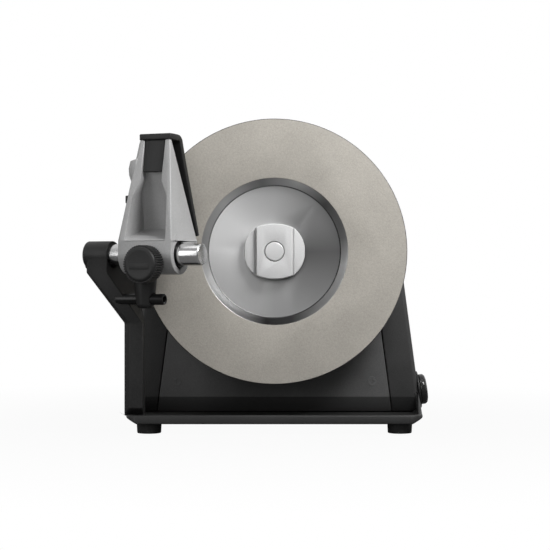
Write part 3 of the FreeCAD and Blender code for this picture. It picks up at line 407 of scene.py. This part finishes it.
def merged(node):
    """A welded copy of a CAD node's mesh with its flat faces whole."""
    shape = welded(node)
    bmesh.ops.dissolve_limit(
        shape, angle_limit=math.radians(FLAT_ANGLE), verts=shape.verts, edges=shape.edges)
    mesh = bpy.data.meshes.new(node + "_shape")
    shape.to_mesh(mesh)
    shape.free()
    return mesh


def islands(node):
    """The boxes of a node's separate solids."""
    shape = welded(node)
    boxes, seen = [], set()
    for start in shape.verts:
        if start in seen:
            continue
        group, stack = [], [start]
        seen.add(start)
        while stack:
            vert = stack.pop()
            group.append(vert.co.copy())
            for edge in vert.link_edges:
                other = edge.other_vert(vert)
                if other not in seen:
                    seen.add(other)
                    stack.append(other)
        low = Vector(min(point[k] for point in group) for k in range(3))
        high = Vector(max(point[k] for point in group) for k in range(3))
        boxes.append((low, high))
    shape.free()
    return boxes


def plain_mesh(piece):
    """What the piece's modifiers give, as a plain mesh; the piece itself is removed."""
    graph = bpy.context.evaluated_depsgraph_get()
    mesh = bpy.data.meshes.new_from_object(piece.evaluated_get(graph))
    bpy.data.objects.remove(piece)
    return mesh


def plain(shape):
    """A bmesh as a mesh, its faces pointing outwards."""
    bmesh.ops.recalc_face_normals(shape, faces=shape.faces)
    mesh = bpy.data.meshes.new("shape")
    shape.to_mesh(mesh)
    shape.free()
    return mesh


def cleaned(mesh):
    """The mesh without slivers: near points welded, faces and edges of no size dissolved."""
    shape = bmesh.new()
    shape.from_mesh(mesh)
    bmesh.ops.remove_doubles(shape, verts=shape.verts, dist=SLIVER * MM)
    bmesh.ops.dissolve_degenerate(shape, dist=SLIVER * MM, edges=shape.edges)
    shape.to_mesh(mesh)
    shape.free()
    return mesh


def loft(sections):
    """A closed shell through outlines with equal numbers of points, in metres."""
    shape = bmesh.new()
    rings = [[shape.verts.new(point) for point in section] for section in sections]
    count = len(rings[0])
    for low, high in zip(rings, rings[1:]):
        for i in range(count):
            j = (i + 1) % count
            shape.faces.new((low[i], low[j], high[j], high[i]))
    shape.faces.new(list(reversed(rings[0])))
    shape.faces.new(rings[-1])
    return plain(shape)


def prism(outline, levels, point):
    """A straight shell: an outline of pairs at two levels, each placed by point(first, second, level)."""
    return loft([[point(first, second, level) for first, second in outline] for level in levels])


def lathe(profile, steps=96):
    """A closed shell turned about Z; the profile is (radius, height) in mm, from axis to axis."""
    shape = bmesh.new()
    turns = [2.0 * math.pi * i / steps for i in range(steps)]
    rings = []
    for radius, height in profile:
        if radius == 0:
            rings.append([shape.verts.new((0, 0, height * MM))])
            continue
        rings.append([
            shape.verts.new((radius * MM * math.cos(turn), radius * MM * math.sin(turn), height * MM))
            for turn in turns
        ])
    for low, high in zip(rings, rings[1:]):
        for i in range(steps):
            j = (i + 1) % steps
            corners = [low[i % len(low)], low[j % len(low)], high[j % len(high)], high[i % len(high)]]
            shape.faces.new(list(dict.fromkeys(corners)))
    return plain(shape)


def rod(radius, start, end, steps):
    """A plain rod along Z, in mm."""
    return lathe([(0, start), (radius, start), (radius, end), (0, end)], steps)


def block(size, centre, ease_mm):
    """A small moulded pad with rounded edges; sizes in mm."""
    shape = bmesh.new()
    bmesh.ops.create_cube(shape, size=1.0)
    bmesh.ops.scale(shape, vec=Vector(size) * MM, verts=shape.verts)
    bmesh.ops.translate(shape, vec=Vector(centre) * MM, verts=shape.verts)
    bmesh.ops.bevel(shape, geom=shape.edges, offset=ease_mm * MM, segments=2, affect="EDGES", profile=0.6)
    return plain(shape)


def joined(name, meshes, place):
    """Meshes as one mesh, moved to its place."""
    whole = bmesh.new()
    for part in meshes:
        whole.from_mesh(part)
    mesh = bpy.data.meshes.new(name)
    whole.to_mesh(mesh)
    whole.free()
    mesh.transform(place)
    return smooth(mesh)


def combined(mesh, tools):
    """The mesh after each tool is joined to it or cut out of it; tools are (operation, mesh)."""
    draft = linked("draft", mesh)
    helpers = []
    for operation, tool in tools:
        helper = linked("tool", tool)
        helpers.append(helper)
        step = draft.modifiers.new("step", "BOOLEAN")
        step.operation = operation
        step.solver = "EXACT"
        step.object = helper
    result = plain_mesh(draft)
    for helper in helpers:
        bpy.data.objects.remove(helper)
    return result


def rounded(mesh, width_mm, segments=3, angle=32.0):
    """The mesh with its edges rounded over where they are sharper than an angle in degrees."""
    draft = linked("draft", mesh)
    bevel = draft.modifiers.new("edges", "BEVEL")
    bevel.width = width_mm * MM
    bevel.segments = segments
    bevel.limit_method = "ANGLE"
    bevel.angle_limit = math.radians(angle)
    bevel.use_clamp_overlap = False
    bevel.miter_outer = "MITER_ARC"
    return smooth(plain_mesh(draft))


def point_mm(x, y, z):
    """A point of the model, in mm."""
    return Vector((x, y, z)) * MM


def on_guide(u, v, z):
    """A point given along the bar, into the guide and up from the bar's axis, in mm."""
    return GUIDE + (ALONG_BAR * u + INTO_GUIDE * v + UP * z) * MM


def bar_frame(height):
    """The place of a shape whose Z runs along the bar, at a height from the bar's axis in mm."""
    place = Matrix((UP, ALONG_BAR.cross(UP), ALONG_BAR)).transposed().to_4x4()
    place.translation = on_guide(0, 0, height)
    return place


def bar_rod(start, end, radius, steps=64):
    """A rod round the bar's axis, in mm."""
    mesh = rod(radius, start, end, steps)
    mesh.transform(bar_frame(0.0))
    return mesh


# Geometry node helpers
def node_tree(name, kinds):
    """A geometry tree with named inputs; returns it with its ends."""
    tree = bpy.data.node_groups.new(name, "GeometryNodeTree")
    tree.interface.new_socket("Geometry", in_out="INPUT", socket_type="NodeSocketGeometry")
    for label, kind in kinds.items():
        tree.interface.new_socket(label, in_out="INPUT", socket_type="NodeSocket" + kind)
    tree.interface.new_socket("Geometry", in_out="OUTPUT", socket_type="NodeSocketGeometry")
    return tree, tree.nodes.new("NodeGroupInput"), tree.nodes.new("NodeGroupOutput")


def close_tree(tree, start, end, geometry):
    """Ends a tree in Realize Instances and Set Material."""
    real = tree.nodes.new("GeometryNodeRealizeInstances")
    coat = tree.nodes.new("GeometryNodeSetMaterial")
    tree.links.new(geometry, real.inputs["Geometry"])
    tree.links.new(real.outputs["Geometry"], coat.inputs["Geometry"])
    tree.links.new(start.outputs["Finish"], coat.inputs["Material"])
    tree.links.new(coat.outputs["Geometry"], end.inputs["Geometry"])


def grown(name, tree, mesh, sizes):
    """The plain mesh that a tree makes from a mesh, with these inputs."""
    carrier = linked(name + "_carrier", mesh)
    growth = carrier.modifiers.new("growth", "NODES")
    growth.node_group = tree
    for item in tree.interface.items_tree:
        if item.in_out == "INPUT" and item.name in sizes:
            growth[item.identifier] = sizes[item.name]
    return plain_mesh(carrier)


def ridge_tree():
    """Ridges round a rim: a ring of small rods that stand along the rim's axis."""
    tree, start, end = node_tree("rim_ridges", {
        "Ridges": "Int", "Rim radius": "Float", "Ridge radius": "Float", "Ridge length": "Float",
        "Finish": "Material",
    })
    circle = tree.nodes.new("GeometryNodeCurvePrimitiveCircle")
    tree.links.new(start.outputs["Ridges"], circle.inputs["Resolution"])
    tree.links.new(start.outputs["Rim radius"], circle.inputs["Radius"])
    points = tree.nodes.new("GeometryNodeCurveToPoints")
    points.mode = "EVALUATED"
    tree.links.new(circle.outputs["Curve"], points.inputs["Curve"])
    ridge = tree.nodes.new("GeometryNodeMeshCylinder")
    ridge.inputs["Vertices"].default_value = 8
    tree.links.new(start.outputs["Ridge radius"], ridge.inputs["Radius"])
    tree.links.new(start.outputs["Ridge length"], ridge.inputs["Depth"])
    spots = tree.nodes.new("GeometryNodeInstanceOnPoints")
    tree.links.new(points.outputs["Points"], spots.inputs["Points"])
    tree.links.new(ridge.outputs["Mesh"], spots.inputs["Instance"])
    close_tree(tree, start, end, spots.outputs["Instances"])
    return tree


def screw_tree():
    """Pan heads with a cross recess, one at each point of the input."""
    slot_long, slot_wide, slot_deep = 1.3, 0.28, 0.7  # of the head's radius
    tree, start, end = node_tree("screw_heads", {
        "Head radius": "Float", "Head height": "Float", "Turn": "Vector", "Finish": "Material",
    })
    head = tree.nodes.new("GeometryNodeMeshCylinder")
    head.inputs["Vertices"].default_value = 32
    tree.links.new(start.outputs["Head radius"], head.inputs["Radius"])
    tree.links.new(start.outputs["Head height"], head.inputs["Depth"])
    recess = tree.nodes.new("GeometryNodeMeshBoolean")
    recess.operation = "DIFFERENCE"
    recess.solver = "EXACT"
    tree.links.new(head.outputs["Mesh"], recess.inputs["Mesh 1"])
    lift = tree.nodes.new("ShaderNodeCombineXYZ")
    tree.links.new(sums(tree, "MULTIPLY", start.outputs["Head height"], 0.5), lift.inputs["Z"])
    for length, width in ((slot_long, slot_wide), (slot_wide, slot_long)):
        slot_size = tree.nodes.new("ShaderNodeVectorMath")
        slot_size.operation = "SCALE"
        slot_size.inputs[0].default_value = (length, width, slot_deep)
        tree.links.new(start.outputs["Head radius"], slot_size.inputs["Scale"])
        cutter = tree.nodes.new("GeometryNodeMeshCube")
        tree.links.new(slot_size.outputs[0], cutter.inputs["Size"])
        raised = tree.nodes.new("GeometryNodeTransform")
        tree.links.new(cutter.outputs["Mesh"], raised.inputs["Geometry"])
        tree.links.new(lift.outputs[0], raised.inputs["Translation"])
        tree.links.new(raised.outputs["Geometry"], recess.inputs["Mesh 2"])
    spots = tree.nodes.new("GeometryNodeInstanceOnPoints")
    tree.links.new(start.outputs["Geometry"], spots.inputs["Points"])
    tree.links.new(recess.outputs["Mesh"], spots.inputs["Instance"])
    tree.links.new(start.outputs["Turn"], spots.inputs["Rotation"])
    close_tree(tree, start, end, spots.outputs["Instances"])
    return tree


# Pieces that keep their CAD shape, with their edges rounded by this many mm
EASED = {
    "housing": 1.0, "wheel_side_cover": 0.6, "guide_leg": 0.8, "switch_knob": 0.7,
    "switch_bezel": 0.5, "cable_gland": 0.6, "foot_front_left": 0.7, "foot_front_right": 0.7,
    "foot_rear_left": 0.7, "foot_rear_right": 0.7, "guide_bar": 0.3, "diamond_ring": 0.25,
    "wheel_core": 0.4, "main_shaft": 0.3, "wheel_flange": 0.5, "drive_wheel": 0.6, "drive_ring": 0.8,
    "honing_core": 0.7, "honing_tyre": 1.4, "honing_washer": 0.4, "honing_nut": 0.5,
    "bar_bush_left": 0.3, "bar_bush_right": 0.3,
}
for node, width in EASED.items():
    put(node, rounded(merged(node), width))

# Tray: its bottom edge slants in along the sides, a slope inside keeps the wall whole, each cheek
# runs back into the bevel of the housing, and bores take the heads of the arm's screws
TRAY_LIP, TRAY_BACK = -97.5, -13.5  # Y of its front and back edge
TRAY_HALF, TRAY_FLARE = 109.0, 5.6  # half width at the lip, and what each side gains towards the back
TRAY_BOTTOM = 7.4
SLANT_WIDTH, SLANT_HEIGHT, SLANT_FRONT = 8.0, 4.5, -101.0
SPARE = 3.0  # how far the slant's cutter stands out past the tray
SLOPE_FOOT, SLOPE_CREST = 9.2, 1.2  # how far in the slope starts, and its width on top
SLOPE_BOTTOM, SLOPE_TOP = 8.6, 12.9
SLOPE_STATIONS = ((-94.0, 5.0), (-90.0, 1.5), (-13.6, 1.5))  # (Y, distance in from the side)
CHEEK_CORNERS = ((3.3, 9.0), (0.5, 9.0), (0.5, 24.7), (3.3, 24.7))  # (distance in at the bottom, Z)
CHEEK_LEAN = math.tan(math.radians(7.6))
CHEEK_FRONT, CHEEK_RUN = -14.0, 8.0
BORE_RADIUS, BORE_BOTTOM, BORE_TOP = 3.2, 4.0, 10.9
HEAD_LIFT = 3.4  # how far the arm's screws are raised into their bores


def tray_section(side, y, corners):
    """Points at one Y of the tray, given as (distance out from its side, Z)."""
    half = TRAY_HALF + TRAY_FLARE * (y - TRAY_LIP) / (TRAY_BACK - TRAY_LIP)
    return [Vector((AXIS.x + side * (half + x) * MM, y * MM, z * MM)) for x, z in corners]


def tray_shape():
    rise = SLANT_HEIGHT / SLANT_WIDTH
    wedge_foot = TRAY_BOTTOM - SPARE * rise
    wedge_top = TRAY_BOTTOM + (SLANT_WIDTH + SPARE) * rise
    wedge = [(-SLANT_WIDTH - SPARE, wedge_foot), (SPARE, wedge_foot), (SPARE, wedge_top)]
    cheek = [(-inset - (z - TRAY_BOTTOM) * CHEEK_LEAN, z) for inset, z in CHEEK_CORNERS]
    fills, cuts = [], []
    for side in (-1, 1):
        slope = []
        for y, edge in SLOPE_STATIONS:
            slope.append(tray_section(side, y, [
                (-SLOPE_FOOT, SLOPE_BOTTOM), (-edge, SLOPE_BOTTOM), (-edge, SLOPE_TOP),
                (-edge - SLOPE_CREST, SLOPE_TOP),
            ]))
        cheek_front = tray_section(side, CHEEK_FRONT, cheek)
        cheek_back = [point + Vector((0.0, CHEEK_RUN, 0.0)) * MM for point in cheek_front]
        fills += [("UNION", loft(slope)), ("UNION", loft([cheek_front, cheek_back]))]
        slant = loft([tray_section(side, y, wedge) for y in (SLANT_FRONT, TRAY_BACK)])
        cuts.append(("DIFFERENCE", slant))
    for low, high in islands("arm_screws"):
        bore = rod(BORE_RADIUS, BORE_BOTTOM, BORE_TOP, steps=48)
        bore.transform(Matrix.Translation(((low.x + high.x) / 2, (low.y + high.y) / 2, 0.0)))
        cuts.append(("DIFFERENCE", bore))
    return combined(merged("base_tray"), fills + cuts)


put("base_tray", rounded(tray_shape(), width_mm=0.8))
arm_heads = merged("arm_screws")
arm_heads.transform(Matrix.Translation((0.0, 0.0, HEAD_LIFT * MM)))
put("arm_screws", rounded(arm_heads, width_mm=0.3))

# Support arm: a post on the tray, leaning out to a deep web below the bar's boss
ARM_POST = ((-100.3, -88.1), (-96.3, -94.1), (-86.4, -94.1), (-86.4, -69.6), (-100.3, -69.6))  # (X, Y)
POST_FOOT, POST_TOP = 13.8, 81.0
BOSS_START, BOSS_END, BOSS_RADIUS = -54.6, -33.7, 10.2  # along the bar
SADDLE_FRONT = ((BOSS_START, -3.8), (-50.6, -9.8), (BOSS_END, -9.8))  # (along, into)
SADDLES = ((30.0, -13.0), (9.8, 0.0))  # (back edge, height from the bar's axis)
TOE_CUT = ((-96.0, 12.0), (-87.1, 12.0), (-87.1, 13.9), (-94.1, 18.8), (-96.0, 18.8))  # (Y, Z)
TOE_SIDES = (-102.0, -85.0)


def arm_shape():
    sections = [[point_mm(x, y, z) for x, y in ARM_POST] for z in (POST_FOOT, POST_TOP)]
    for back, height in SADDLES:
        plan = [*SADDLE_FRONT, (BOSS_END, back), (BOSS_START, back)]
        sections.append([on_guide(u, v, height) for u, v in plan])
    boss = bar_rod(BOSS_START, BOSS_END, BOSS_RADIUS)
    toe = prism(TOE_CUT, TOE_SIDES, lambda y, z, x: point_mm(x, y, z))
    return combined(loft(sections), [("UNION", boss), ("DIFFERENCE", toe)])


put("support_arm", rounded(cleaned(arm_shape()), width_mm=0.8))

# Guide rod: below the bar and along it, hollow at its free end
ROD_DROP = 32.4
ROD_PROFILE = (
    (0, -30.0), (4.0, -30.0), (4.0, 8.4), (3.8, 8.85), (3.4, 9.0),
    (2.8, 9.0), (2.55, 8.8), (2.5, 8.4), (2.5, 3.0), (0, 3.0),
)
guide_rod = lathe(ROD_PROFILE, steps=64)
guide_rod.transform(bar_frame(-ROD_DROP))
put("guide_rod", smooth(guide_rod))

# Clip: a band over the crown that bends down into a leaf as wide as the tower's back.
# A station is (into the guide, height, thickness, half width, lean in degrees)
CLIP_CROWN = ((1.5, 85.9, 4.6, 13.0, 0.0), (8.0, 85.9, 4.6, 13.0, 0.0), (13.4, 85.7, 4.8, 12.9, 8.0))
CLIP_HALF = 12.8
BEND_INTO, BEND_HEIGHT, BEND_RADIUS, BEND_THICK = 14.4, 80.9, 4.9, 4.6
BEND_LEANS = (20.0, 40.0, 60.0, 80.0)
LEAF_INTO, LEAF_TOP, LEAF_THICK = 19.5, 80.0, 4.4
LEAF_RUN, LEAF_DROP, LEAF_THINNING, LEAF_WIDENING = 11.8, 66.0, 1.2, 7.6  # from its top to its foot
LEAF_SHARES = (0.15, 0.35, 0.55, 0.75, 0.9, 1.0)
CLIP_CORNERS = ((-1, -1), (1, -1), (1, 1), (-1, 1))  # (side, in or out)
TONGUE = ((-8.1, -1.9, 60.0), (8.1, -1.9, 60.0), (8.3, 2.3, 86.0), (-8.3, 2.3, 86.0))
TONGUE_THICK = 2.7


def clip_shape():
    stations = list(CLIP_CROWN)
    for lean in BEND_LEANS:
        turn = math.radians(lean)
        into, height = BEND_INTO + BEND_RADIUS * math.sin(turn), BEND_HEIGHT + BEND_RADIUS * math.cos(turn)
        stations.append((into, height, BEND_THICK, CLIP_HALF, lean))
    for share in LEAF_SHARES:
        into, height = LEAF_INTO + share * LEAF_RUN, LEAF_TOP - share * LEAF_DROP
        thick, half = LEAF_THICK - share * LEAF_THINNING, CLIP_HALF + share * LEAF_WIDENING
        stations.append((into, height, thick, half, BEND_LEANS[-1]))
    sections = []
    for into, height, thick, half, lean in stations:
        turn = math.radians(lean)
        outward = Vector((math.sin(turn), math.cos(turn))) * thick / 2
        sections.append([
            on_guide(side * half, into + way * outward.x, height + way * outward.y)
            for side, way in CLIP_CORNERS
        ])
    tongue = [[on_guide(u, v + shift, z) for u, v, z in TONGUE] for shift in (0.0, TONGUE_THICK)]
    return combined(loft(sections), [("UNION", loft(tongue))])


put("blade_clip", rounded(clip_shape(), width_mm=0.8))

# Tower: round below the bar, with its flanks running down past the boss
FLANK_HALF, CROWN_HALF = 22.0, 12.5  # half widths at the flanks' foot and at the crown
FLANK_FOOT, CROWN_TOP = 10.0, 83.6
FLANK_CUTS = ((-1, 0.03, 40.0), (1, -0.03, 90.0))  # (side, gap to the flank, height reached)
FLANK_DEPTH = (-16.0, 30.0)  # from where to where the cuts run into the guide
FLANK_SPARE = 8.0
UNDER_RADIUS = 14.4
UNDER_SIDES, UNDER_SPARE = (-30, 30), 1  # along the bar
UNDER_BLOCK = ((-30, -30), (40, -30), (40, 0), (-30, 0))  # (into, height), cut away outside the radius


def tower_shape():
    lean = (FLANK_HALF - CROWN_HALF) / (CROWN_TOP - FLANK_FOOT)
    tools = []
    for side, gap, reach in FLANK_CUTS:
        foot, far = side * (FLANK_HALF + gap), side * (FLANK_HALF + FLANK_SPARE)
        top = side * (FLANK_HALF + gap - (reach - FLANK_FOOT) * lean)
        outside = [(foot, FLANK_FOOT), (far, FLANK_FOOT), (far, reach), (top, reach)]
        tools.append(("DIFFERENCE", prism(outside, FLANK_DEPTH, lambda u, z, v: on_guide(u, v, z))))
    under = prism(UNDER_BLOCK, UNDER_SIDES, lambda v, z, u: on_guide(u, v, z))
    start, end = UNDER_SIDES
    core = bar_rod(start - UNDER_SPARE, end + UNDER_SPARE, UNDER_RADIUS, steps=96)
    tools.append(("DIFFERENCE", combined(under, [("DIFFERENCE", core)])))
    return combined(merged("guide_tower"), tools)


put("guide_tower", rounded(tower_shape(), width_mm=0.7))

# Stop pad: taller, and let down and out to the edge of the tower's flank
PAD_OUT, PAD_DOWN, PAD_STRETCH = 1.2, 3.6, 1.4
pad_mesh = merged("stop_pad")
pad_low, pad_high = islands("stop_pad")[0]
pad_centre = Matrix.Translation((pad_low + pad_high) / 2)
pad_shift = Matrix.Translation((-ALONG_BAR * PAD_OUT - UP * PAD_DOWN) * MM)
pad_stretch = Matrix.Diagonal((1.0, 1.0, PAD_STRETCH, 1.0))
pad_mesh.transform(pad_shift @ pad_centre @ pad_stretch @ pad_centre.inverted())
put("stop_pad", rounded(pad_mesh, width_mm=0.5))

# Lock knob: finger hollows either side of a raised grip with sloping walls and a fine groove beside each
LOCK_SEAT = -50.7  # Y of its back
LOCK_RIM, LOCK_ARC, LOCK_APEX = 23.1, 35.6, 21.0  # round rim, and the flatter arcs above and below
LOCK_BASE = ((22.9, 0.0, 0.0), (22.9, 0.0, 6.2), (22.4, 0.5, 6.8))  # (half width, inset, depth)
LOCK_GRIP = ((14.3, 0.2, 5.0), (13.9, 0.2, 8.8), (13.6, 0.4, 10.3), (13.1, 0.8, 10.8))
LOCK_STEPS, LOCK_TIP = 40, 0.02  # points along the outline, least half height at its ends
LOCK_BORE, BORE_MIDDLE, BORE_REACH = 7.65, -55.0, 20.0
GROOVE = ((14.15, -30.0), (14.85, -30.0), (14.85, 30.0), (14.15, 30.0))  # (out from the middle, Z)
GROOVE_DEPTHS = (5.9, 8.0)


def lock_point(x, z, depth):
    """A point of the lock, given from the spindle's axis and out from the lock's back, in mm."""
    return AXIS + Vector((x, LOCK_SEAT - depth, z)) * MM


def lock_outline(half, inset, depth):
    """The lock's outline, as wide as given and drawn in at top and bottom."""
    upper = []
    for i in range(LOCK_STEPS + 1):
        x = -half * math.cos(math.pi * i / LOCK_STEPS)
        rim = math.sqrt(max(LOCK_RIM ** 2 - x ** 2, 0.0))
        arc = LOCK_APEX - LOCK_ARC + math.sqrt(LOCK_ARC ** 2 - x ** 2)
        upper.append((x, max(min(rim, arc) - inset, LOCK_TIP)))
    lower = [(x, -z) for x, z in reversed(upper)]
    return [lock_point(x, z, depth) for x, z in upper + lower]


def lock_shape():
    base = loft([lock_outline(*station) for station in LOCK_BASE])
    grip = loft([lock_outline(*station) for station in LOCK_GRIP])
    bore = rod(LOCK_BORE, -BORE_REACH, BORE_REACH, steps=96)
    bore_place = Matrix.Translation(AXIS + Vector((0, BORE_MIDDLE, 0)) * MM)
    bore.transform(bore_place @ Matrix.Rotation(math.pi / 2, 4, "X"))
    tools = [("UNION", grip), ("DIFFERENCE", bore)]
    for side in (-1, 1):
        outline = [(side * x, z) for x, z in GROOVE]
        tools.append(("DIFFERENCE", prism(outline, GROOVE_DEPTHS, lock_point)))
    return combined(base, tools)


put("wheel_lock_knob", rounded(cleaned(lock_shape()), width_mm=0.2, segments=2, angle=50.0))

# Knurled clamp knob: turned body, ridged rim and a raised band across its face
KNOB_PLACE, KNOB_FRONT, KNOB_DROP = 3.0, 14.4, 7.0  # along the bar, out of the guide, below the bar's axis
KNOB_PROFILE = (
    (0, -18.4), (2.7, -18.4), (3.0, -18.1), (3.0, 0.0), (11.6, 0.0), (12.2, 0.4), (12.6, 1.2), (12.6, 11.2),
    (12.3, 12.0), (11.6, 12.6), (10.8, 12.85), (9.6, 12.75), (7.0, 12.45), (3.5, 12.3), (0, 12.25),
)
RIDGES, RIDGE_RING, RIDGE_RADIUS, RIDGE_LENGTH, RIDGE_MIDDLE = 46, 12.95, 0.72, 10.4, 6.2
KNOB_BAND_SIZE, KNOB_BAND_CENTRE, KNOB_BAND_EASE = (15.4, 4.2, 1.0), (0, -1.6, 12.3), 0.3
knob_frame = Matrix((ALONG_BAR, UP, -INTO_GUIDE)).transposed().to_4x4()
knob_frame.translation = on_guide(KNOB_PLACE, -KNOB_FRONT, -KNOB_DROP)
knob_ridges = grown("knob_ridges", ridge_tree(), bpy.data.meshes.new("rim"), {
    "Ridges": RIDGES, "Rim radius": RIDGE_RING * MM, "Ridge radius": RIDGE_RADIUS * MM,
    "Ridge length": RIDGE_LENGTH * MM, "Finish": FINISHES["grip_plastic"],
})
knob_ridges.transform(Matrix.Translation((0, 0, RIDGE_MIDDLE * MM)))
knob_band = block(KNOB_BAND_SIZE, KNOB_BAND_CENTRE, KNOB_BAND_EASE)
put("clamp_knob", joined("clamp_knob_shape", [lathe(KNOB_PROFILE), knob_ridges, knob_band], knob_frame))

# Cross-recess screws of the cover behind the wheel, as low heads
HEAD_HEIGHT = 0.4
screw_boxes = islands("cover_screws")
screw_spots = bpy.data.meshes.new("cover_screw_spots")
screw_spots.from_pydata([
    ((low.x + high.x) / 2, high.y - HEAD_HEIGHT / 2 * MM, (low.z + high.z) / 2) for low, high in screw_boxes
], [], [])
head_low, head_high = screw_boxes[0]
cover_heads = grown("cover_screws", screw_tree(), screw_spots, {
    "Head radius": (head_high.x - head_low.x) / 2, "Head height": HEAD_HEIGHT * MM,
    "Turn": (math.pi / 2, 0.0, 0.0), "Finish": FINISHES["cover_plastic"],
})
put("cover_screws", smooth(cover_heads))

# CAD nodes take their slot's finish; those inside the machine show as they are
for node, piece in frame["nodes"].items():
    if not piece.data.materials:
        piece.data.materials.append(None)
    for index in range(len(piece.data.materials)):
        piece.data.materials[index] = FINISHES[SLOT_OF.get(node, OTHER_SLOT)]

# Camera at the photograph's viewing angle
camera_data = bpy.data.cameras.new("camera")
camera_data.lens = 108.8
camera_data.sensor_width = 36.0
camera = linked("camera", camera_data)
camera.location = (0.0104, -1.3095, 0.1163)
camera.rotation_euler = (math.pi / 2, 0.0, 0.0)
bpy.context.scene.camera = camera

# Soft lights: place, the point each faces, power in watts, width and height
LIGHTS = {
    "key": ((0.30, -0.40, 0.52), (0.03, -0.06, 0.15), 3.7, 0.24, 0.24),
    "top": ((-0.10, -0.20, 0.95), (0.0, -0.05, 0.10), 1.0, 0.7, 0.5),
    "front": ((-0.30, -1.15, 0.40), (-0.05, -0.05, 0.12), 1.3, 0.5, 0.5),
    "strip": ((-0.72, -0.58, 0.22), (-0.08, -0.10, 0.13), 1.8, 0.30, 0.8),
}
for name, (place, aim, power, width, height) in LIGHTS.items():
    lamp = bpy.data.lights.new(name, "AREA")
    lamp.shape = "RECTANGLE"
    lamp.size = width
    lamp.size_y = height
    lamp.energy = power
    light = linked(name, lamp)
    light.location = place
    light.rotation_euler = (Vector(aim) - Vector(place)).to_track_quat("-Z", "Y").to_euler()

# Studio surroundings: white to the camera, and in reflections paler behind the object than behind the camera
ROOM_FROM, ROOM_TO = -0.8, 0.3  # where the room's tones start and end, along Y
ROOM_TONES = ((0.0, 0.32), (0.5, 0.55), (1.0, 0.95))
AMBIENT, REFLECTED, WHITE = 0.16, 0.8, 1.0
world = bpy.data.worlds.new("studio")
bpy.context.scene.world = world
world.use_nodes = True
sky = world.node_tree
sky.nodes.clear()
heading = axes_of(sky, sky.nodes.new("ShaderNodeTexCoord").outputs["Generated"])
room = greys(sky, spread(sky, heading["Y"], 0.0, 1.0, ROOM_FROM, ROOM_TO), ROOM_TONES)


def backdrop(strength, colour=None):
    """Surroundings of this strength, white unless a colour is given."""
    node = sky.nodes.new("ShaderNodeBackground")
    node.inputs["Strength"].default_value = strength
    if colour is None:
        node.inputs["Color"].default_value = (1, 1, 1, 1)
    else:
        sky.links.new(colour, node.inputs["Color"])
    return node.outputs[0]


rays = sky.nodes.new("ShaderNodeLightPath").outputs
seen = either(sky, rays["Is Glossy Ray"], backdrop(AMBIENT), backdrop(REFLECTED, room))
seen = either(sky, rays["Is Transmission Ray"], seen, backdrop(WHITE))
seen = either(sky, rays["Is Camera Ray"], seen, backdrop(WHITE))
sky.links.new(seen, sky.nodes.new("ShaderNodeOutputWorld").inputs["Surface"])

# Floor: pale to the camera, keeping a soft shadow near the object
FLOOR_REACH, FLOOR_DROP = 6.0, 0.0002
SHADOW_NEAR, SHADOW_FAR = 0.15, 0.5  # distances over which the shadow fades out
VEIL_NEAR, VEIL_FAR = 0.95, 1.0  # share of white over the paper at those distances
floor_mesh = bpy.data.meshes.new("floor")
floor_mesh.from_pydata([
    (-FLOOR_REACH, -FLOOR_REACH, 0), (FLOOR_REACH, -FLOOR_REACH, 0),
    (FLOOR_REACH, FLOOR_REACH, 0), (-FLOOR_REACH, FLOOR_REACH, 0),
], [], [(0, 1, 2, 3)])
floor = linked("floor", floor_mesh)
floor.location.z = -FLOOR_DROP
paper, tree, shader, place = grained(
    "studio_paper", grey(0.17), grey(0.20), 3.0, (0.8, 0.9), 0.01, specular=0.1)
glow = tree.nodes.new("ShaderNodeEmission").outputs[0]
fade = spread(tree, length_of(tree, place), VEIL_NEAR, VEIL_FAR, SHADOW_NEAR, SHADOW_FAR)
camera_ray = tree.nodes.new("ShaderNodeLightPath").outputs["Is Camera Ray"]
veiled = either(tree, sums(tree, "MULTIPLY", camera_ray, fade), shader.outputs[0], glow)
tree.links.new(veiled, tree.nodes["Material Output"].inputs["Surface"])
floor_mesh.materials.append(paper)

bpy.context.scene.view_settings.view_transform = "Standard"
